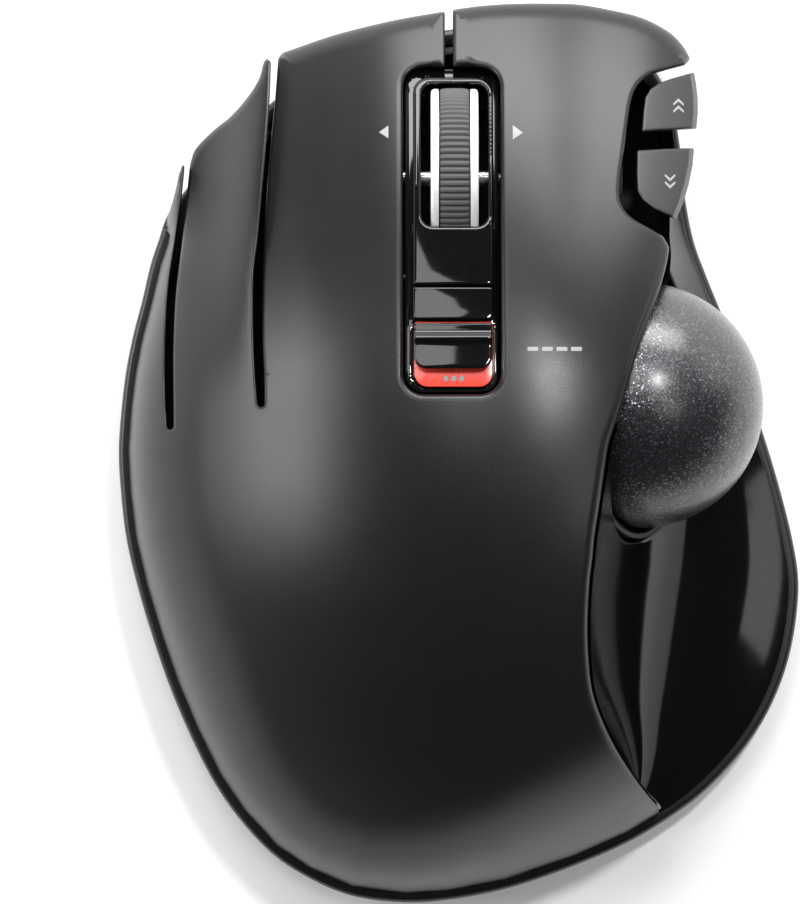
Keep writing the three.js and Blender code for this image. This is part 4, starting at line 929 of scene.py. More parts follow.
def metal(name, tone, rough=0.25, metallic=1.0, scale=(1, 60, 1), strength=0.15, spread=0.08):
    """Drawn or plated metal with fine streaks."""
    m, nt, bs = nodes_of(name)
    mp = N(nt, "ShaderNodeMapping")
    mp.inputs["Scale"].default_value = tuple(800.0 * s for s in scale)
    nt.links.new(coords(nt), mp.inputs["Vector"])
    no = N(nt, "ShaderNodeTexNoise", Scale=1.0, Detail=4.0)
    nt.links.new(mp.outputs["Vector"], no.inputs["Vector"])
    lo_, hi_ = [tuple(min(1, t * f) for t in tone) for f in (0.9, 1.05)]
    nt.links.new(ramp(nt, no.outputs["Fac"], [(0.3, lo_), (0.7, hi_)]).outputs["Color"], bs.inputs["Base Color"])
    mr = N(nt, "ShaderNodeMapRange")
    mr.inputs["To Min"].default_value, mr.inputs["To Max"].default_value = rough - spread / 2, rough + spread
    nt.links.new(no.outputs["Fac"], mr.inputs["Value"])
    nt.links.new(mr.outputs["Result"], bs.inputs["Roughness"])
    b = N(nt, "ShaderNodeBump", Strength=strength, Distance=0.00001)
    nt.links.new(no.outputs["Fac"], b.inputs["Height"])
    nt.links.new(b.outputs["Normal"], bs.inputs["Normal"])
    bs.inputs["Metallic"].default_value = metallic
    return m


RIMCHROME = metal("rim_plating", (0.93, 0.93, 0.94), rough=0.34, metallic=0.30, scale=(3, 1, 1), strength=0.05)
STEEL = metal("plated_steel", (0.72, 0.72, 0.73), rough=0.24, scale=(1, 14, 1))
ZINC = metal("switch_can", (0.62, 0.62, 0.64), rough=0.4, scale=(6, 6, 1))
RUBBER = moulded("ribbed_rubber", grey(66), grey(84), rough=(0.55, 0.75), grain=6000, grain_h=0.00003, grain_s=0.4, spec=0.4)
KEYM = moulded("key_matte", grey(27, (1, 1, 1.03)), grey(34, (1, 1, 1.03)), rough=(0.38, 0.48), grain=4200, grain_h=0.00003, grain_s=0.3)
WALLM = moulded("side_wall_matte", grey(27, (1, 1, 1.03)), grey(34, (1, 1, 1.03)), rough=(0.38, 0.48), grain=4200, grain_h=0.00003, grain_s=0.3)
REDM = moulded("red_print", (lin(236), lin(66), lin(50)), (lin(248), lin(84), lin(66)), rough=(0.25, 0.34), grain=2500, grain_h=0.00001, grain_s=0.1, coat=0.3)
PRINT = moulded("pale_print", grey(140), grey(152), rough=(0.4, 0.5), grain=5000, grain_h=0.000005, grain_s=0.1)
PTFE = moulded("slick_foot_plastic", grey(196, (1, 1, 0.98)), grey(212, (1, 1, 0.98)), rough=(0.35, 0.5), grain=3500, grain_h=0.00001, grain_s=0.25)
WHITE = moulded("white_moulding", grey(214, (1, 1, 0.97)), grey(226, (1, 1, 0.97)), rough=(0.35, 0.5), grain=3500, grain_h=0.00001, grain_s=0.2)
CERAMIC = moulded("zirconia", grey(228, (1, 0.99, 0.96)), grey(236, (1, 0.99, 0.96)), rough=(0.12, 0.2), grain=2500, grain_h=0.000004, grain_s=0.05, coat=0.5)
STICKER = moulded("rating_sticker_film", grey(120), grey(128), rough=(0.3, 0.42), grain=3000, grain_h=0.000006, grain_s=0.15)


def board_material():
    m, nt, bs = nodes_of("solder_mask")
    co = coords(nt)
    br = N(nt, "ShaderNodeTexBrick", Scale=420.0)
    br.inputs["Color1"].default_value = (0.004, 0.030, 0.012, 1)
    br.inputs["Color2"].default_value = (0.005, 0.038, 0.016, 1)
    br.inputs["Mortar"].default_value = (0.010, 0.065, 0.026, 1)
    br.inputs["Mortar Size"].default_value = 0.06
    nt.links.new(co, br.inputs["Vector"])
    vo = N(nt, "ShaderNodeTexVoronoi", Scale=330.0)
    nt.links.new(co, vo.inputs["Vector"])
    pads = ramp(nt, vo.outputs["Distance"], [(0.0, (1, 1, 1)), (0.13, (1, 1, 1)), (0.16, (0, 0, 0))])
    mx = nt.nodes.new("ShaderNodeMix"); mx.data_type = "RGBA"
    nt.links.new(pads.outputs["Color"], mx.inputs[0])
    nt.links.new(br.outputs["Color"], mx.inputs[6])
    mx.inputs[7].default_value = (0.75, 0.62, 0.32, 1)
    nt.links.new(mx.outputs[2], bs.inputs["Base Color"])
    nt.links.new(pads.outputs["Color"], bs.inputs["Metallic"])
    b = N(nt, "ShaderNodeBump", Strength=0.3, Distance=0.00003)
    nt.links.new(br.outputs["Fac"], b.inputs["Height"])
    nt.links.new(b.outputs["Normal"], bs.inputs["Normal"])
    bs.inputs["Roughness"].default_value = 0.35
    return m


def cell_material():
    m, nt, bs = nodes_of("cell_wrap")
    sep = N(nt, "ShaderNodeSeparateXYZ")
    nt.links.new(coords(nt), sep.inputs[0])
    band = ramp(nt, sep.outputs["Y"], [(0.0, (0.45, 0.33, 0.10)), (1.0, (0.45, 0.33, 0.10))])
    mr = N(nt, "ShaderNodeMapRange")
    mr.inputs["From Min"].default_value, mr.inputs["From Max"].default_value = -0.050, 0.0005
    nt.links.new(sep.outputs["Y"], mr.inputs["Value"])
    band = ramp(nt, mr.outputs["Result"], [(0.0, (0.55, 0.55, 0.56)), (0.03, (0.02, 0.02, 0.022)), (0.62, (0.02, 0.02, 0.022)), (0.64, (0.50, 0.36, 0.10)), (0.955, (0.50, 0.36, 0.10)), (0.97, (0.6, 0.6, 0.61))])
    band.color_ramp.interpolation = "CONSTANT"
    nz_ = N(nt, "ShaderNodeTexNoise", Scale=900.0, Detail=3.0)
    nt.links.new(coords(nt), nz_.inputs["Vector"])
    nt.links.new(band.outputs["Color"], bs.inputs["Base Color"])
    r2 = N(nt, "ShaderNodeMapRange")
    r2.inputs["To Min"].default_value, r2.inputs["To Max"].default_value = 0.2, 0.34
    nt.links.new(nz_.outputs["Fac"], r2.inputs["Value"])
    nt.links.new(r2.outputs["Result"], bs.inputs["Roughness"])
    bs.inputs["Metallic"].default_value = 0.45
    return m


def lens_material():
    m, nt, bs = nodes_of("clear_lens")
    nz_ = N(nt, "ShaderNodeTexNoise", Scale=600.0)
    nt.links.new(coords(nt), nz_.inputs["Vector"])
    nt.links.new(ramp(nt, nz_.outputs["Fac"], [(0.3, (0.92, 0.95, 0.97)), (0.7, (0.96, 0.98, 1.0))]).outputs["Color"], bs.inputs["Base Color"])
    bs.inputs["Transmission Weight"].default_value = 0.9
    bs.inputs["Roughness"].default_value = 0.06
    return m


BOARD, CELLM, LENS = board_material(), cell_material(), lens_material()

# ------------------------------------------------------------------ centre console
cz = lambda a: (lambda x, y: crown(np.zeros_like(y), y) - a)
hole = rrect(HOLE[0], HOLE[1], HOLE[2], HOLE[3], 1.6)
hole_in = rrect(HOLE[0] - 0.05, HOLE[1] + 0.05, HOLE[2] - 0.05, HOLE[3] + 0.05, 1.6)
tray = slab("console_tray", rrect(x0 + 0.3, x1 - 0.3, y0 + 0.3, y1 - 0.3, 2.6), cz(3.0), cz(4.0), GLOSS, r=0.05, holes=[hole_in, rrect(STRIP[0] + 0.2, STRIP[1] - 0.2, 9.0, 18.0, 1.4)], step=3)
keep(tray, slot="gloss_black")
stz = lambda a: (lambda x, y: crown(np.zeros_like(y), y) - a - 0.010 * (x + 1.0) ** 2)
strip = slab("console_strip", rrect(STRIP[0] + 0.1, STRIP[1] + 0.1, 22.95, STRIP[3], [0.35, 2.3, 2.3, 0.35]), stz(0.9), cz(4.4), GLOSS, r=0.5, hole_r=0.42, holes=[hole], step=1.5)
keep(strip, slot="gloss_black", replaces=["centre_console"])
pocket = slab("slider_pocket", rrect(STRIP[0] + 0.0, STRIP[1] + 0.1, 8.75, 18.3, [1.9, 0.3, 0.3, 1.9]), cz(3.05), cz(3.9), GLOSS, r=0.05, step=3)
keep(pocket, slot="gloss_black")
glass = slab("indicator_glass", rrect(STRIP[0] + 0.12, STRIP[1] - 0.02, 18.25, 22.72, 0.25), stz(0.93), cz(2.3), GLOSS, r=0.3, step=1.2)
keep(glass, slot="gloss_black", replaces=["indicator_window"])
red = slab("red_label_plate", rrect(STRIP[0] + 0.3, STRIP[1] - 0.05, 8.95, 17.9, [1.85, 0.3, 0.3, 1.85]), cz(2.15), cz(2.85), REDM, r=0.12, step=1.5)
keep(red, slot="red_label", replaces=["speed_label_plate"])
for k, xx in enumerate((-1.95, -0.9, 0.15)):
    bar = slab("label_bar_%d" % (k + 1), rrect(xx - 0.32, xx + 0.32, 9.75, 10.45, 0.1, 4), cz(2.12), cz(2.3), PRINT, r=0.02, seg=0.3)
    keep(bar)

slope_t = (crown(A([0.0]), A([17.7]))[0] - crown(A([0.0]), A([11.3]))[0]) / 6.4
slider_base = crown(A([0.0]), A([11.4]))[0] - 0.55


def slider_top(x, y):
    s = np.clip((y - 11.35) / math.cos(math.atan(slope_t)), 0, 7)
    prof = np.interp(s, [0, 0.6, 3.5, 3.75, 4.35, 4.5, 4.65, 5.35, 5.6, 6.6], [0.14, 0.20, 0.20, 0.26, 0.92, 0.98, 0.92, 0.30, 0.24, 0.24])
    prof = prof - 0.008 * (x + 1.0) ** 2
    return slider_base + (y - 11.4) * slope_t + prof


knob_rows = [0.04, 0.12, 0.24, 0.4]
knob = slab("slider_knob", rrect(STRIP[0] + 0.22, STRIP[1] - 0.1, 11.45, 17.75, [1.7, 0.4, 0.4, 1.7]), slider_top, lambda x, y: slider_base + (y - 11.4) * slope_t - 1.5, GLOSS, r=0.3, step=0.16, rows=knob_rows, seg=0.25)
keep(knob, "speed_knob", "gloss_black", ["speed_slider"])

# ------------------------------------------------------------------ wheel
ribs, per = 84, 6
tv, tf = [], []
half_w = 2.1
cross = [(-half_w, -1.9), (-half_w, -0.5), (-half_w + 0.12, -0.18), (-half_w + 0.35, -0.03), (-1.0, 0.05), (0.0, 0.07), (1.0, 0.05), (half_w - 0.35, -0.03), (half_w - 0.12, -0.18), (half_w, -0.5), (half_w, -1.9)]
ang_n = ribs * per
for k in range(ang_n):
    a = 2 * math.pi * k / ang_n
    ph = (k % per) / per
    groove = 0.30 * (1 - min(1.0, abs(ph - 0.5) / 0.26)) if abs(ph - 0.5) < 0.26 else 0.0
    for xx, dr in cross:
        rad = WHEEL_R - 0.05 + dr - (groove if dr > -1.0 else 0)
        tv.append([WHEEL[0] + xx, WHEEL[1] + rad * math.sin(a), WHEEL[2] + rad * math.cos(a)])
m_ = len(cross)
for k in range(ang_n):
    for j in range(m_):
        a, b = k * m_ + j, k * m_ + (j + 1) % m_
        c, d_ = ((k + 1) % ang_n) * m_ + (j + 1) % m_, ((k + 1) % ang_n) * m_ + j
        tf.append((a, b, c, d_))
tyre = new_object("ribbed_tyre", tv, tf, RUBBER)
mark_sharp(tyre, 30)
keep(tyre, "scroll_wheel", "wheel_rubber", ["wheel_tyre"])
hw, ht = 3.3, 2.15
prof = [(1.3, -2.7), (8.4, -2.7), (9.3, -hw), (11.7, -hw), (12.05, -hw + 0.05), (12.25, -hw + 0.16), (12.36, -hw + 0.32), (12.42, -hw + 0.6), (12.38, -ht - 0.06), (10.75, -ht - 0.05), (10.75, ht + 0.05), (12.38, ht + 0.06), (12.42, hw - 0.6), (12.36, hw - 0.32), (12.25, hw - 0.16), (12.05, hw - 0.05), (11.7, hw), (9.3, hw), (8.4, 2.7), (1.3, 2.7)]
hub = lathe("wheel_rims", prof, (1, 0, 0), WHEEL, RIMCHROME, 120)
keep(hub, "scroll_wheel", "wheel_chrome", ["wheel_hub"])
axle = lathe("wheel_axle_pin", [(0.0, -7.4), (0.8, -7.4), (1.1, -7.1), (1.1, 6.5), (0.8, 6.8), (0.0, 6.8)], (1, 0, 0), WHEEL, STEEL, 28)
keep(axle, "scroll_wheel", "steel", ["wheel_axle"])

keep(slab("wheel_well_shield", rrect(-9.8, 8.3, 23.0, 50.0, 1.5), 10.68, 10.53, DARK, r=0.02, step=5, rows=[0.3]), "case", "black_part")

# ------------------------------------------------------------------ side keys with a light outer face
FWD = A([[32.75, 52.95], [30.5, 52.25], [29.2, 51.85], [27.7, 51.25], [26.5, 50.45], [25.75, 49.2], [25.45, 47], [25.25, 44.4], [28.8, 44.7], [32.95, 45.0], [33.2, 47.2], [33.2, 49.4], [33.0, 51.4]])
BACK = A([[24.55, 41.75], [28.3, 42.0], [32.6, 42.2], [32.35, 39.8], [31.75, 37.1], [30.95, 34.5], [29.95, 32.2], [28.6, 32.8], [26.8, 33.6], [25.3, 34.75], [24.55, 36.0], [24.45, 38.5]])


def key(name, poly, outer, body, node):
    o = A(outer, float)
    loop_, _t = round_loop([(densify(poly, 0.5), 0)], 0.25)

    def top(x, y):
        dr = near_line(np.stack([x, y], 1), o)[0]
        z = crown(x, y) - 0.5
        z = z - 4.2 * np.maximum(0, 0.72 - dr) - 0.25 * np.exp(-(dr / 0.9) ** 2)
        return z
    k_ = slab(name, loop_, top, lambda x, y: crown(x, y) - 6.2, KEYM, r=0.32, step=0.55, rows=[0.03, 0.09, 0.18, 0.32, 0.5, 0.62, 0.72, 0.82, 1.0], seg=0.45)
    keep(k_, body, "matte_cover", [node])
    return k_


key("forward_key_cap", FWD, [[32.75, 52.95], [33.0, 51.4], [33.2, 49.4], [33.2, 47.2], [32.95, 45.0]], "forward_key", "forward_button")
key("back_key_cap", BACK, [[32.6, 42.2], [32.35, 39.8], [31.75, 37.1], [30.95, 34.5], [29.95, 32.2]], "back_key", "back_button")


def decal(name, loop_, fz, body, lift=0.03, mat=None):
    """A printed mark: a thin film that follows the surface below it."""
    d_ = slab(name, A(loop_), lambda x, y: fz(x, y) + lift, lambda x, y: fz(x, y) - 0.06, mat or PRINT, r=0.01, seg=0.25, step=0.4, rows=[0.06])
    keep(d_, body)
    return d_


def chevron(cx, cy, s, t, way):
    p = A([[-s, 0], [0, s * way], [s, 0], [s - t * 0.2, -t * way], [0, (s - 1.5 * t) * way], [-s + t * 0.2, -t * way]])
    return p + A([cx, cy])


kz = lambda x, y: crown(x, y) - 0.5
decal("forward_chevron_1", chevron(30.4, 48.4, 0.75, 0.28, 1), kz, "forward_key")
decal("forward_chevron_2", chevron(30.4, 47.4, 0.75, 0.28, 1), kz, "forward_key")
decal("back_chevron_1", chevron(29.1, 38.2, 0.75, 0.28, -1), kz, "back_key")
decal("back_chevron_2", chevron(29.1, 37.2, 0.75, 0.28, -1), kz, "back_key")
decal("tilt_mark_left", [[-11.2, 44.25], [-9.9, 45.2], [-9.9, 43.4]], top_z, "left_button")
decal("tilt_mark_right", [[7.3, 45.2], [8.7, 44.1], [7.3, 43.2]], top_z, "right_button")
for k, (xa, wd) in enumerate(((9.2, 1.5), (11.2, 1.5), (13.2, 1.5), (15.2, 1.5))):
    decal("plain_bar_%d" % (k + 1), rrect(xa, xa + wd, 14.15 - 0.28, 14.15 + 0.28, 0.12, 4), top_z, "case" if xa < 60 else "case")

# ------------------------------------------------------------------ side wall under the keys and beside the ball
WALL_TOP = A([[24.5, 8.6, 26], [26.5, 14, 34], [27.9, 19, 34.5], [28.7, 23, 33.5], [29.2, 27, 30.5], [29.1, 30, 26.2], [29.2, 33, 24.4], [29.7, 38, 21.6], [29.8, 43, 18.5], [28.6, 48.5, 15.3], [25.2, 52.3, 13.1]])
WALL_FOOT = A([[39.4, 8.6], [37.2, 14.5], [35.8, 18.6], [34.4, 22.2], [33.2, 25.4], [32, 28.6], [31, 32], [30.1, 37], [29.6, 42], [28, 47.8], [24.7, 51.6]])


RW = 240
wt, wf = even(WALL_TOP, RW), even(WALL_FOOT, RW)


def wall_point(r, u):
    e = u * u * (0.55 + 0.45 * u)
    tx, ty, tz, fx, fy = [along(l, r) for l in (wt[:, 0], wt[:, 1], wt[:, 2], wf[:, 0], wf[:, 1])]
    return np.stack([tx + (fx - tx) * e, ty + (fy - ty) * e, tz + (FOOT_Z + 0.1 - tz) * u], -1)


sw = sheet("side_wall_panel", wall_point, 50, 24, WALLM, 1.5, 0.35, want=(1, 0, 0.2), grid=1.0)
keep(sw, "case", "matte_cover", ["side_wall"])

# ------------------------------------------------------------------ base: rounded flange, floor with its openings, bays and collars
FRONT = [[31.5,36.7],[31,42.3],[29.7,48.8],[26.6,54.4],[19.5,58.2],[10.2,59.6],[-1.3,59.2],[-12.5,56.6],[-22.3,52],[-30.7,44.9],[-36.6,38.8]]
base_line = catmull(FLANGE + FRONT, 0.9, closed=True)[:-1]
bt = np.roll(base_line, -1, 0) - np.roll(base_line, 1, 0)
bt /= np.linalg.norm(bt, axis=1, keepdims=True)
bn = np.stack([-bt[:, 1], bt[:, 0]], 1)
if area(base_line) < 0: bn = -bn
prof = [(2.4, 0.8), (1.25, 0.8), (0.95, 0.86), (0.62, 1.05), (0.36, 1.4), (0.16, 1.95), (0.04, 2.7), (0.0, 3.5), (0.0, 4.9), (0.05, 5.3), (0.18, 5.65), (0.4, 5.92), (0.7, 6.06), (1.05, 6.1), (2.3, 6.1), (3.3, 6.05), (3.5, 5.9), (3.5, 2.5), (2.4, 2.45)]
fv, ff = [], []
for p, nn_ in zip(base_line, bn):
    for ins, z in prof:
        fv.append([p[0] + nn_[0] * ins, p[1] + nn_[1] * ins, z])
m_, n_ = len(prof), len(base_line)
for k in range(n_):
    for j in range(m_):
        a, b = k * m_ + j, k * m_ + (j + 1) % m_
        c, d_ = ((k + 1) % n_) * m_ + (j + 1) % m_, ((k + 1) % n_) * m_ + j
        ff.append((a, d_, c, b))
if area(base_line) < 0: ff = [f[::-1] for f in ff]
flange = new_object("base_flange", fv, ff, BASE)
mark_sharp(flange, 50)
keep(flange, "case", "base_plastic", ["base_case"])
SCREWS = [[-33, 12], [-25.5, -42], [12, -51], [26.5, -30]]
DOOR = rrect(-19.4, -0.6, -53, 4.2, 1.0, 5)
POCKET = rrect(3.2, 18.4, -44.5, -23.5, 0.8, 5)
EJECT = circle(BALL[0], BALL[1], 6, 48)
SLOT = rrect(-33.2, -28.8, -18, -6, 2.1, 8)
floor_holes = [DOOR, POCKET, EJECT, SLOT] + [circle(x, y, 2.9, 32) for x, y in SCREWS]
inner_line = base_line + bn * 2.38
plate = slab("base_floor", inner_line[::2], 2.5, 0.8, BASE, r=0.05, r_low=0.0, holes=floor_holes, step=6, rows=[0.3, 0.9], seg=1.2)
keep(plate, "case", "base_plastic")
for nm, o_, h_, z0_, z1_ in (("bay_wall_cell", rrect(-20.8, 0.8, -54.4, 5.6, 1.6), DOOR, 2.4, 9), ("bay_wall_receiver", rrect(2.0, 19.6, -45.7, -22.3, 1.4), POCKET, 2.4, 7.5), ("eject_collar", circle(BALL[0], BALL[1], 8, 48), EJECT, 2.4, 6.9)):
    keep(slab(nm, o_, z1_, z0_, BASE, r=0.15, holes=[h_], step=4, seg=1.5, rows=[0.2]), "case", "base_plastic")
keep(slab("bay_roof_receiver", rrect(2.2, 19.4, -45.5, -22.5, 1.2), 8.6, 7.5, BASE, r=0.15, step=4, seg=1.5, rows=[0.2]), "case", "base_plastic")
for k, (x, y) in enumerate(SCREWS):
    keep(slab("screw_collar_%d" % (k + 1), circle(x, y, 4, 32), 6.6, 3.4, BASE, r=0.1, holes=[circle(x, y, 1.75, 20)], step=3, rows=[0.2]), "case", "base_plastic")
    keep(slab("screw_well_%d" % (k + 1), circle(x, y, 4, 32), 3.4, 0.82, BASE, r=0.02, r_low=0.25, holes=[circle(x, y, 2.85, 32)], step=3, rows=[0.1, 0.25]), "case", "base_plastic")
    head = lathe("screw_head_%d" % (k + 1), [(0.0, 3.0), (1.3, 3.0), (1.3, 2.9), (2.5, 2.9), (2.5, 1.95), (2.3, 1.62), (1.9, 1.5), (1.55, 1.5), (0.62, 2.35), (0.0, 2.35)], (0, 0, 1), (x, y, 0), STEEL, 36)
    keep(head, "case", "steel")
# front wall under the buttons
fl_ = catmull(FRONT, 0.9)
ft_ = np.gradient(fl_, axis=0); ft_ /= np.linalg.norm(ft_, axis=1, keepdims=True)
fnn = np.stack([-ft_[:, 1], ft_[:, 0]], 1)
sel = fl_[:, 1] > 41.0
a_, b_ = (fl_ + fnn * 0.65)[sel & (fl_[:, 0] < 22.6) & (fl_[:, 0] > -35.5)], (fl_ + fnn * 2.3)[sel & (fl_[:, 0] < 22.6) & (fl_[:, 0] > -35.5)]
if np.linalg.norm(a_.mean(0)) < np.linalg.norm(b_.mean(0)):
    a_, b_ = (fl_ - fnn * 0.65)[sel & (fl_[:, 0] < 22.6) & (fl_[:, 0] > -35.5)], (fl_ - fnn * 2.3)[sel & (fl_[:, 0] < 22.6) & (fl_[:, 0] > -35.5)]
keep(slab("front_wall", np.vstack([a_, b_[::-1]]), 10.4, 6.0, BASE, r=0.25, step=3, rows=[0.1, 0.25]), "case", "base_plastic")

mid_ = (a_ + (b_ - a_) * 1.35)
mid2_ = (a_ + (b_ - a_) * 1.95)
keep(slab("front_baffle", np.vstack([mid_, mid2_[::-1]]), lambda x, y: under_z(x, y) - 2.2, 6.0, DARK, r=0.1, step=3, rows=[0.1]), "case", "black_part")

# feet
for nm, (x, y, a, b, turn) in {"foot_front_left": (-27, 35, 6, 2.6, -35), "foot_front_right": (19, 48.5, 6.5, 2.4, 8), "foot_left": (-42.2, -4, 2.2, 7, 0), "foot_rear": (-6, -58, 7.5, 2.3, 0), "foot_right": (42.3, -20, 2.2, 7.5, 2)}.items():
    t_ = np.linspace(0, 2 * math.pi, 72, endpoint=False)
    u_, v_ = a * np.sign(np.cos(t_)) * np.abs(np.cos(t_)) ** 0.75, b * np.sign(np.sin(t_)) * np.abs(np.sin(t_)) ** 0.75
    r_ = math.radians(turn)
    o_ = np.stack([x + u_ * math.cos(r_) - v_ * math.sin(r_), y + u_ * math.sin(r_) + v_ * math.cos(r_)], 1)
    keep(slab(nm + "_pad", o_, 0.72, 0.0, PTFE, r=0.05, r_low=0.3, step=2, rows=[0.03, 0.1, 0.2, 0.32]), "case", "slick_foot", [nm])

# battery door with grip grooves; its upper side is plain
GR = [-46.2, -44.0, -41.8]


def door_low(x, y):
    z = np.full(len(x), 0.95)
    for g_ in GR:
        z = z + 0.5 * np.exp(-((y - g_) / 0.38) ** 2) * smooth(4.8, 4.2, np.abs(x + 10))
    return z


dr_ = slab("battery_lid", rrect(-19.05, -0.95, -52.65, 3.85, 0.8, 5), 2.4, door_low, BASE, r=0.05, r_low=0.3, step=1.4, rows=[0.04, 0.12, 0.24, 0.4])
me = dr_.data
keep(dr_, "door", "base_plastic", ["battery_door"])

# power switch: knob with three ridges
def sw_low(x, y):
    return 0.95 + 0.28 * np.cos((y + 10.2) * 2 * math.pi / 1.3) ** 2 * smooth(2.6, 2.2, np.abs(y + 10.2))


keep(slab("power_knob_cap", rrect(-32.6, -29.4, -13, -7.4, 0.7, 5), 4.0, sw_low, WHITE, r=0.05, r_low=0.18, step=0.22, rows=[0.06, 0.14]), "power_knob", "white_part", ["power_switch"])
keep(slab("power_knob_plate", rrect(-32.9, -29.1, -13.8, -6.4, 0.5, 4), 4.9, 3.0, WHITE, r=0.1, step=1.5, rows=[0.1]), "power_knob", "white_part")

# receiver: cap with grip ribs on all sides
rx, ry = 10.8, -24.2
loopc = rrect(rx - 6.6, rx + 6.6, ry - 6, ry, 0.8, 6)
keep(slab("receiver_cap_body", loopc, 6.9, 1.3, BASE, r=0.5, r_low=0.5, step=1.0), "usb_receiver", "black_part", ["receiver_cap"])
for k, (ya, yb) in enumerate(((-2.7, -2.0), (-4.6, -3.9), (-0.7, 0.0))):
    keep(slab("receiver_rib_%d" % (k + 1), rrect(rx - 6.98, rx + 6.98, ry + ya, ry + yb, 0.2, 4), 7.1, 1.1, BASE, r=0.25, r_low=0.25, step=0.8, rows=[0.05, 0.15, 0.25]), "usb_receiver", "black_part")

# ball bowl, drawn as a smooth cup open towards the thumb
bowl_axis = A([-math.cos(math.asin(0.423)), 0.0, -0.423])
bu = np.cross(bowl_axis, [0, 1.0, 0]); bu /= np.linalg.norm(bu)
bv = np.cross(bowl_axis, bu)


def cup(P_):
    """Plan (degrees about the cup's axis) and radius to space."""
    rad = np.hypot(P_[:, 0], P_[:, 1]) + 1e-9
    th = np.radians(rad)
    d_ = bowl_axis[None, :] * np.cos(th)[:, None] + (bu[None, :] * (P_[:, 0] / rad)[:, None] + bv[None, :] * (P_[:, 1] / rad)[:, None]) * np.sin(th)[:, None]
    return BALL + d_ * P_[:, 2:3]


def to_cup(d_):
    d_ = A(d_, float); d_ = d_ / np.linalg.norm(d_, axis=-1, keepdims=True)
    th = np.degrees(np.arccos(np.clip(d_ @ bowl_axis, -1, 1)))
    a, b = d_ @ bu, d_ @ bv
    l = np.hypot(a, b) + 1e-9
    return np.stack([th * a / l, th * b / l], -1)


def cone(dirn, deg, n=28):
    dirn = A(dirn, float); dirn /= np.linalg.norm(dirn)
    p = np.cross(dirn, [0.3, 1, 0.2]); p /= np.linalg.norm(p); q = np.cross(dirn, p)
    t_ = np.linspace(0, 2 * math.pi, n, endpoint=False)
    return to_cup(dirn * math.cos(math.radians(deg)) + (np.cos(t_)[:, None] * p + np.sin(t_)[:, None] * q) * math.sin(math.radians(deg)))


seats = [A(s) / np.linalg.norm(s) for s in ((-0.86, 0.1, 0.2), (-0.05, 0.66, -0.75), (-0.05, -0.66, -0.75))]
cup_holes = [cone((0, 0, -1), 17.5, 48), cone((-0.78, 0, -0.62), 10.0, 36)] + [cone(s, 5.6, 24) for s in seats]
cupo = slab("ball_cup", circle(0, 0, 89.5, 160), 18.5, 17.7, DARK, r=0.0, holes=cup_holes, step=5.5, rows=[0.6, 1.8], seg=3.0, mapping=cup)
if True:
    # the mapping may turn the faces inside out
    me = cupo.data
    c0 = sum((p.center - Vector((BALL * 0.001).tolist())).normalized().dot(p.normal) * (1 if (p.center - Vector((BALL * 0.001).tolist())).length > 0.0181 else -1) * p.area for p in me.polygons)
    if c0 < 0:
        me.flip_normals()
    me.normals_split_custom_set_from_vertices([(0, 0, 0)] * len(me.vertices))
keep(cupo, "case", "black_part", ["ball_bowl"])

# AA cell as a turned piece
keep(lathe("aa_cell_body", [(0.0, -50.0), (6.6, -50.0), (7.0, -49.8), (7.2, -49.4), (7.2, -0.95), (7.0, -0.6), (6.5, -0.5), (2.9, -0.5), (2.75, -0.4), (2.7, 0.25), (2.45, 0.5), (0.0, 0.5)], (0, 1, 0), (-10, 0, 11.3), CELLM, 72), "case", "cell_wrap", ["aa_cell"])

# the pieces inside keep their shape and get a worked surface
for nm, mt in {"side_key_board": BOARD, "main_board": BOARD, "sensor_board": BOARD, "forward_switch": DARK, "back_switch": DARK, "wheel_cradle": DARK, "tilt_frame": DARK, "tilt_bearing": DARK, "scroll_encoder": DARK, "cradle_pin": STEEL, "left_click_switch": DARK, "right_click_switch": DARK, "middle_click_switch": DARK, "tilt_switch_left": DARK, "tilt_switch_right": DARK, "speed_switch": ZINC, "radio_chip": DARK, "status_led": WHITE, "support_bearing_1": CERAMIC, "support_bearing_2": CERAMIC, "support_bearing_3": CERAMIC, "optical_sensor": DARK, "sensor_lens": LENS, "contact_plate": STEEL, "contact_spring": STEEL, "power_switch_body": ZINC, "screw_1": STEEL, "screw_2": STEEL, "screw_3": STEEL, "screw_4": STEEL, "receiver_plug_shell": STEEL, "receiver_contact_block": WHITE}.items():
    ob = bpy.data.objects.get(nm)
    if ob is None or ob.type != "MESH":
        print("no object for", nm); continue
    ob.data.materials.clear()
    ob.data.materials.append(mt)

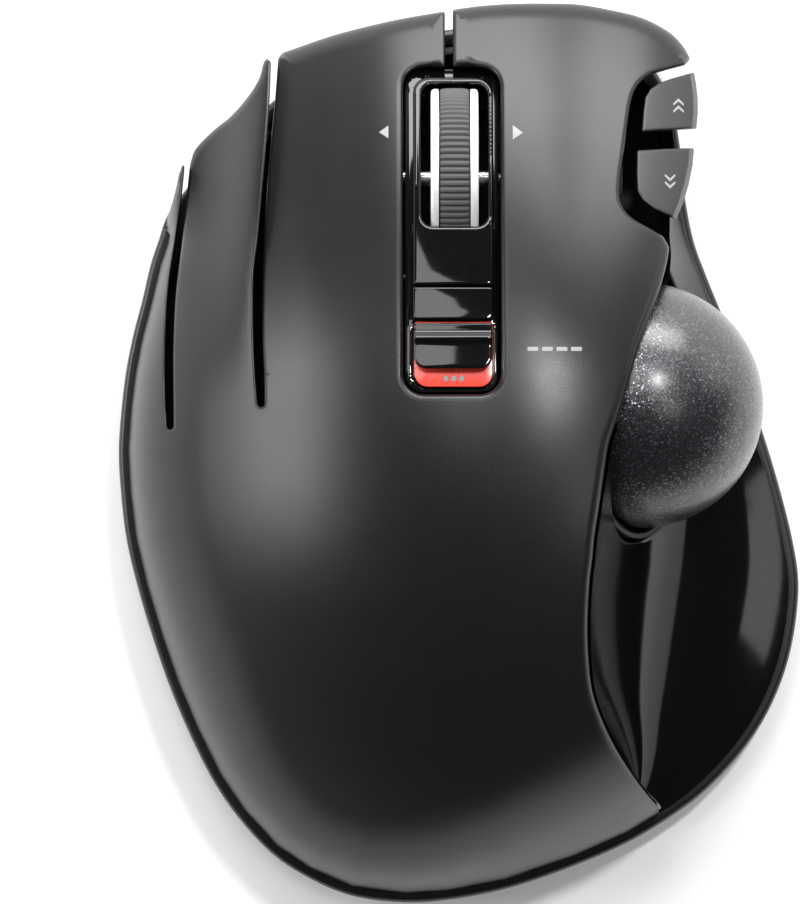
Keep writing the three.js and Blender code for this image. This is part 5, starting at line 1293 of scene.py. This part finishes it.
# ------------------------------------------------------------------ floor, light, camera
floor_m, nt, bs = nodes_of("pale_floor")
nz = N(nt, "ShaderNodeTexNoise", Scale=40.0, Detail=3.0)
nt.links.new(coords(nt), nz.inputs["Vector"])
rp = ramp(nt, nz.outputs["Fac"], [(0.3, (0.86, 0.86, 0.86)), (0.7, (0.9, 0.9, 0.9))])
nt.links.new(rp.outputs["Color"], bs.inputs["Base Color"])
bs.inputs["Roughness"].default_value = 0.9
bs.inputs["Specular IOR Level"].default_value = 0.1
bs.inputs["Emission Color"].default_value = (1, 1, 1, 1)
bs.inputs["Emission Strength"].default_value = 0.18
fl = new_object("floor", [[-3000, -3000, -0.02], [3000, -3000, -0.02], [3000, 3000, -0.02], [-3000, 3000, -0.02]], [(0, 1, 2, 3)], floor_m)

cam_d = bpy.data.cameras.new("camera")
cam = bpy.data.objects.new("camera", cam_d)
bpy.context.scene.collection.objects.link(cam)
cam.location = (-0.00829, 0.0, 2.0)
cam.rotation_euler = (0, 0, 0)
cam_d.sensor_width = 36.0
cam_d.lens = 36.0 * 2000.0 * 7.12 / 904.0
cam_d.clip_start, cam_d.clip_end = 0.01, 20
bpy.context.scene.camera = cam


def area_light(name, direction, dist, size, power, color=(1, 1, 1), target=(0, 0, 0.02), size_y=None, shape=None, roll=0.0):
    ld = bpy.data.lights.new(name, "AREA")
    ld.shape = shape or ("RECTANGLE" if size_y else "SQUARE")
    ld.size = size
    if size_y:
        ld.size_y = size_y
    ld.energy = power
    ld.color = color
    o = bpy.data.objects.new(name, ld)
    bpy.context.scene.collection.objects.link(o)
    d_ = Vector(direction).normalized()
    o.location = Vector(target) + d_ * dist
    o.rotation_euler = ((-d_).to_track_quat("-Z", "Y").to_matrix().to_4x4() @ Matrix.Rotation(roll, 4, "Z")).to_euler()
    return o


area_light("key_small", (0.27, 0.40, 0.875), 1.0, 0.10, 4.8, shape="DISK")
area_light("front_low", (0.06, 0.95, 0.32), 1.0, 1.1, 17.0, size_y=0.40)
area_light("front_left_high", (-0.24, 0.50, 0.83), 1.0, 0.50, 3.6, size_y=0.46, roll=0.5)
area_light("right_low", (0.86, 0.52, 0.20), 0.9, 0.55, 1.7, size_y=0.5)
area_light("left_low", (-0.97, 0.15, 0.40), 1.0, 0.6, 6.0, size_y=0.3)
area_light("right_top", (0.48, -0.02, 0.88), 1.0, 0.24, 0.6)
w = bpy.data.worlds.new("studio")
w.use_nodes = True
w.node_tree.nodes["Background"].inputs["Color"].default_value = (0.9, 0.93, 1.0, 1)
w.node_tree.nodes["Background"].inputs["Strength"].default_value = 0.10
bpy.context.scene.world = w
bpy.context.scene.view_settings.view_transform = "Standard"
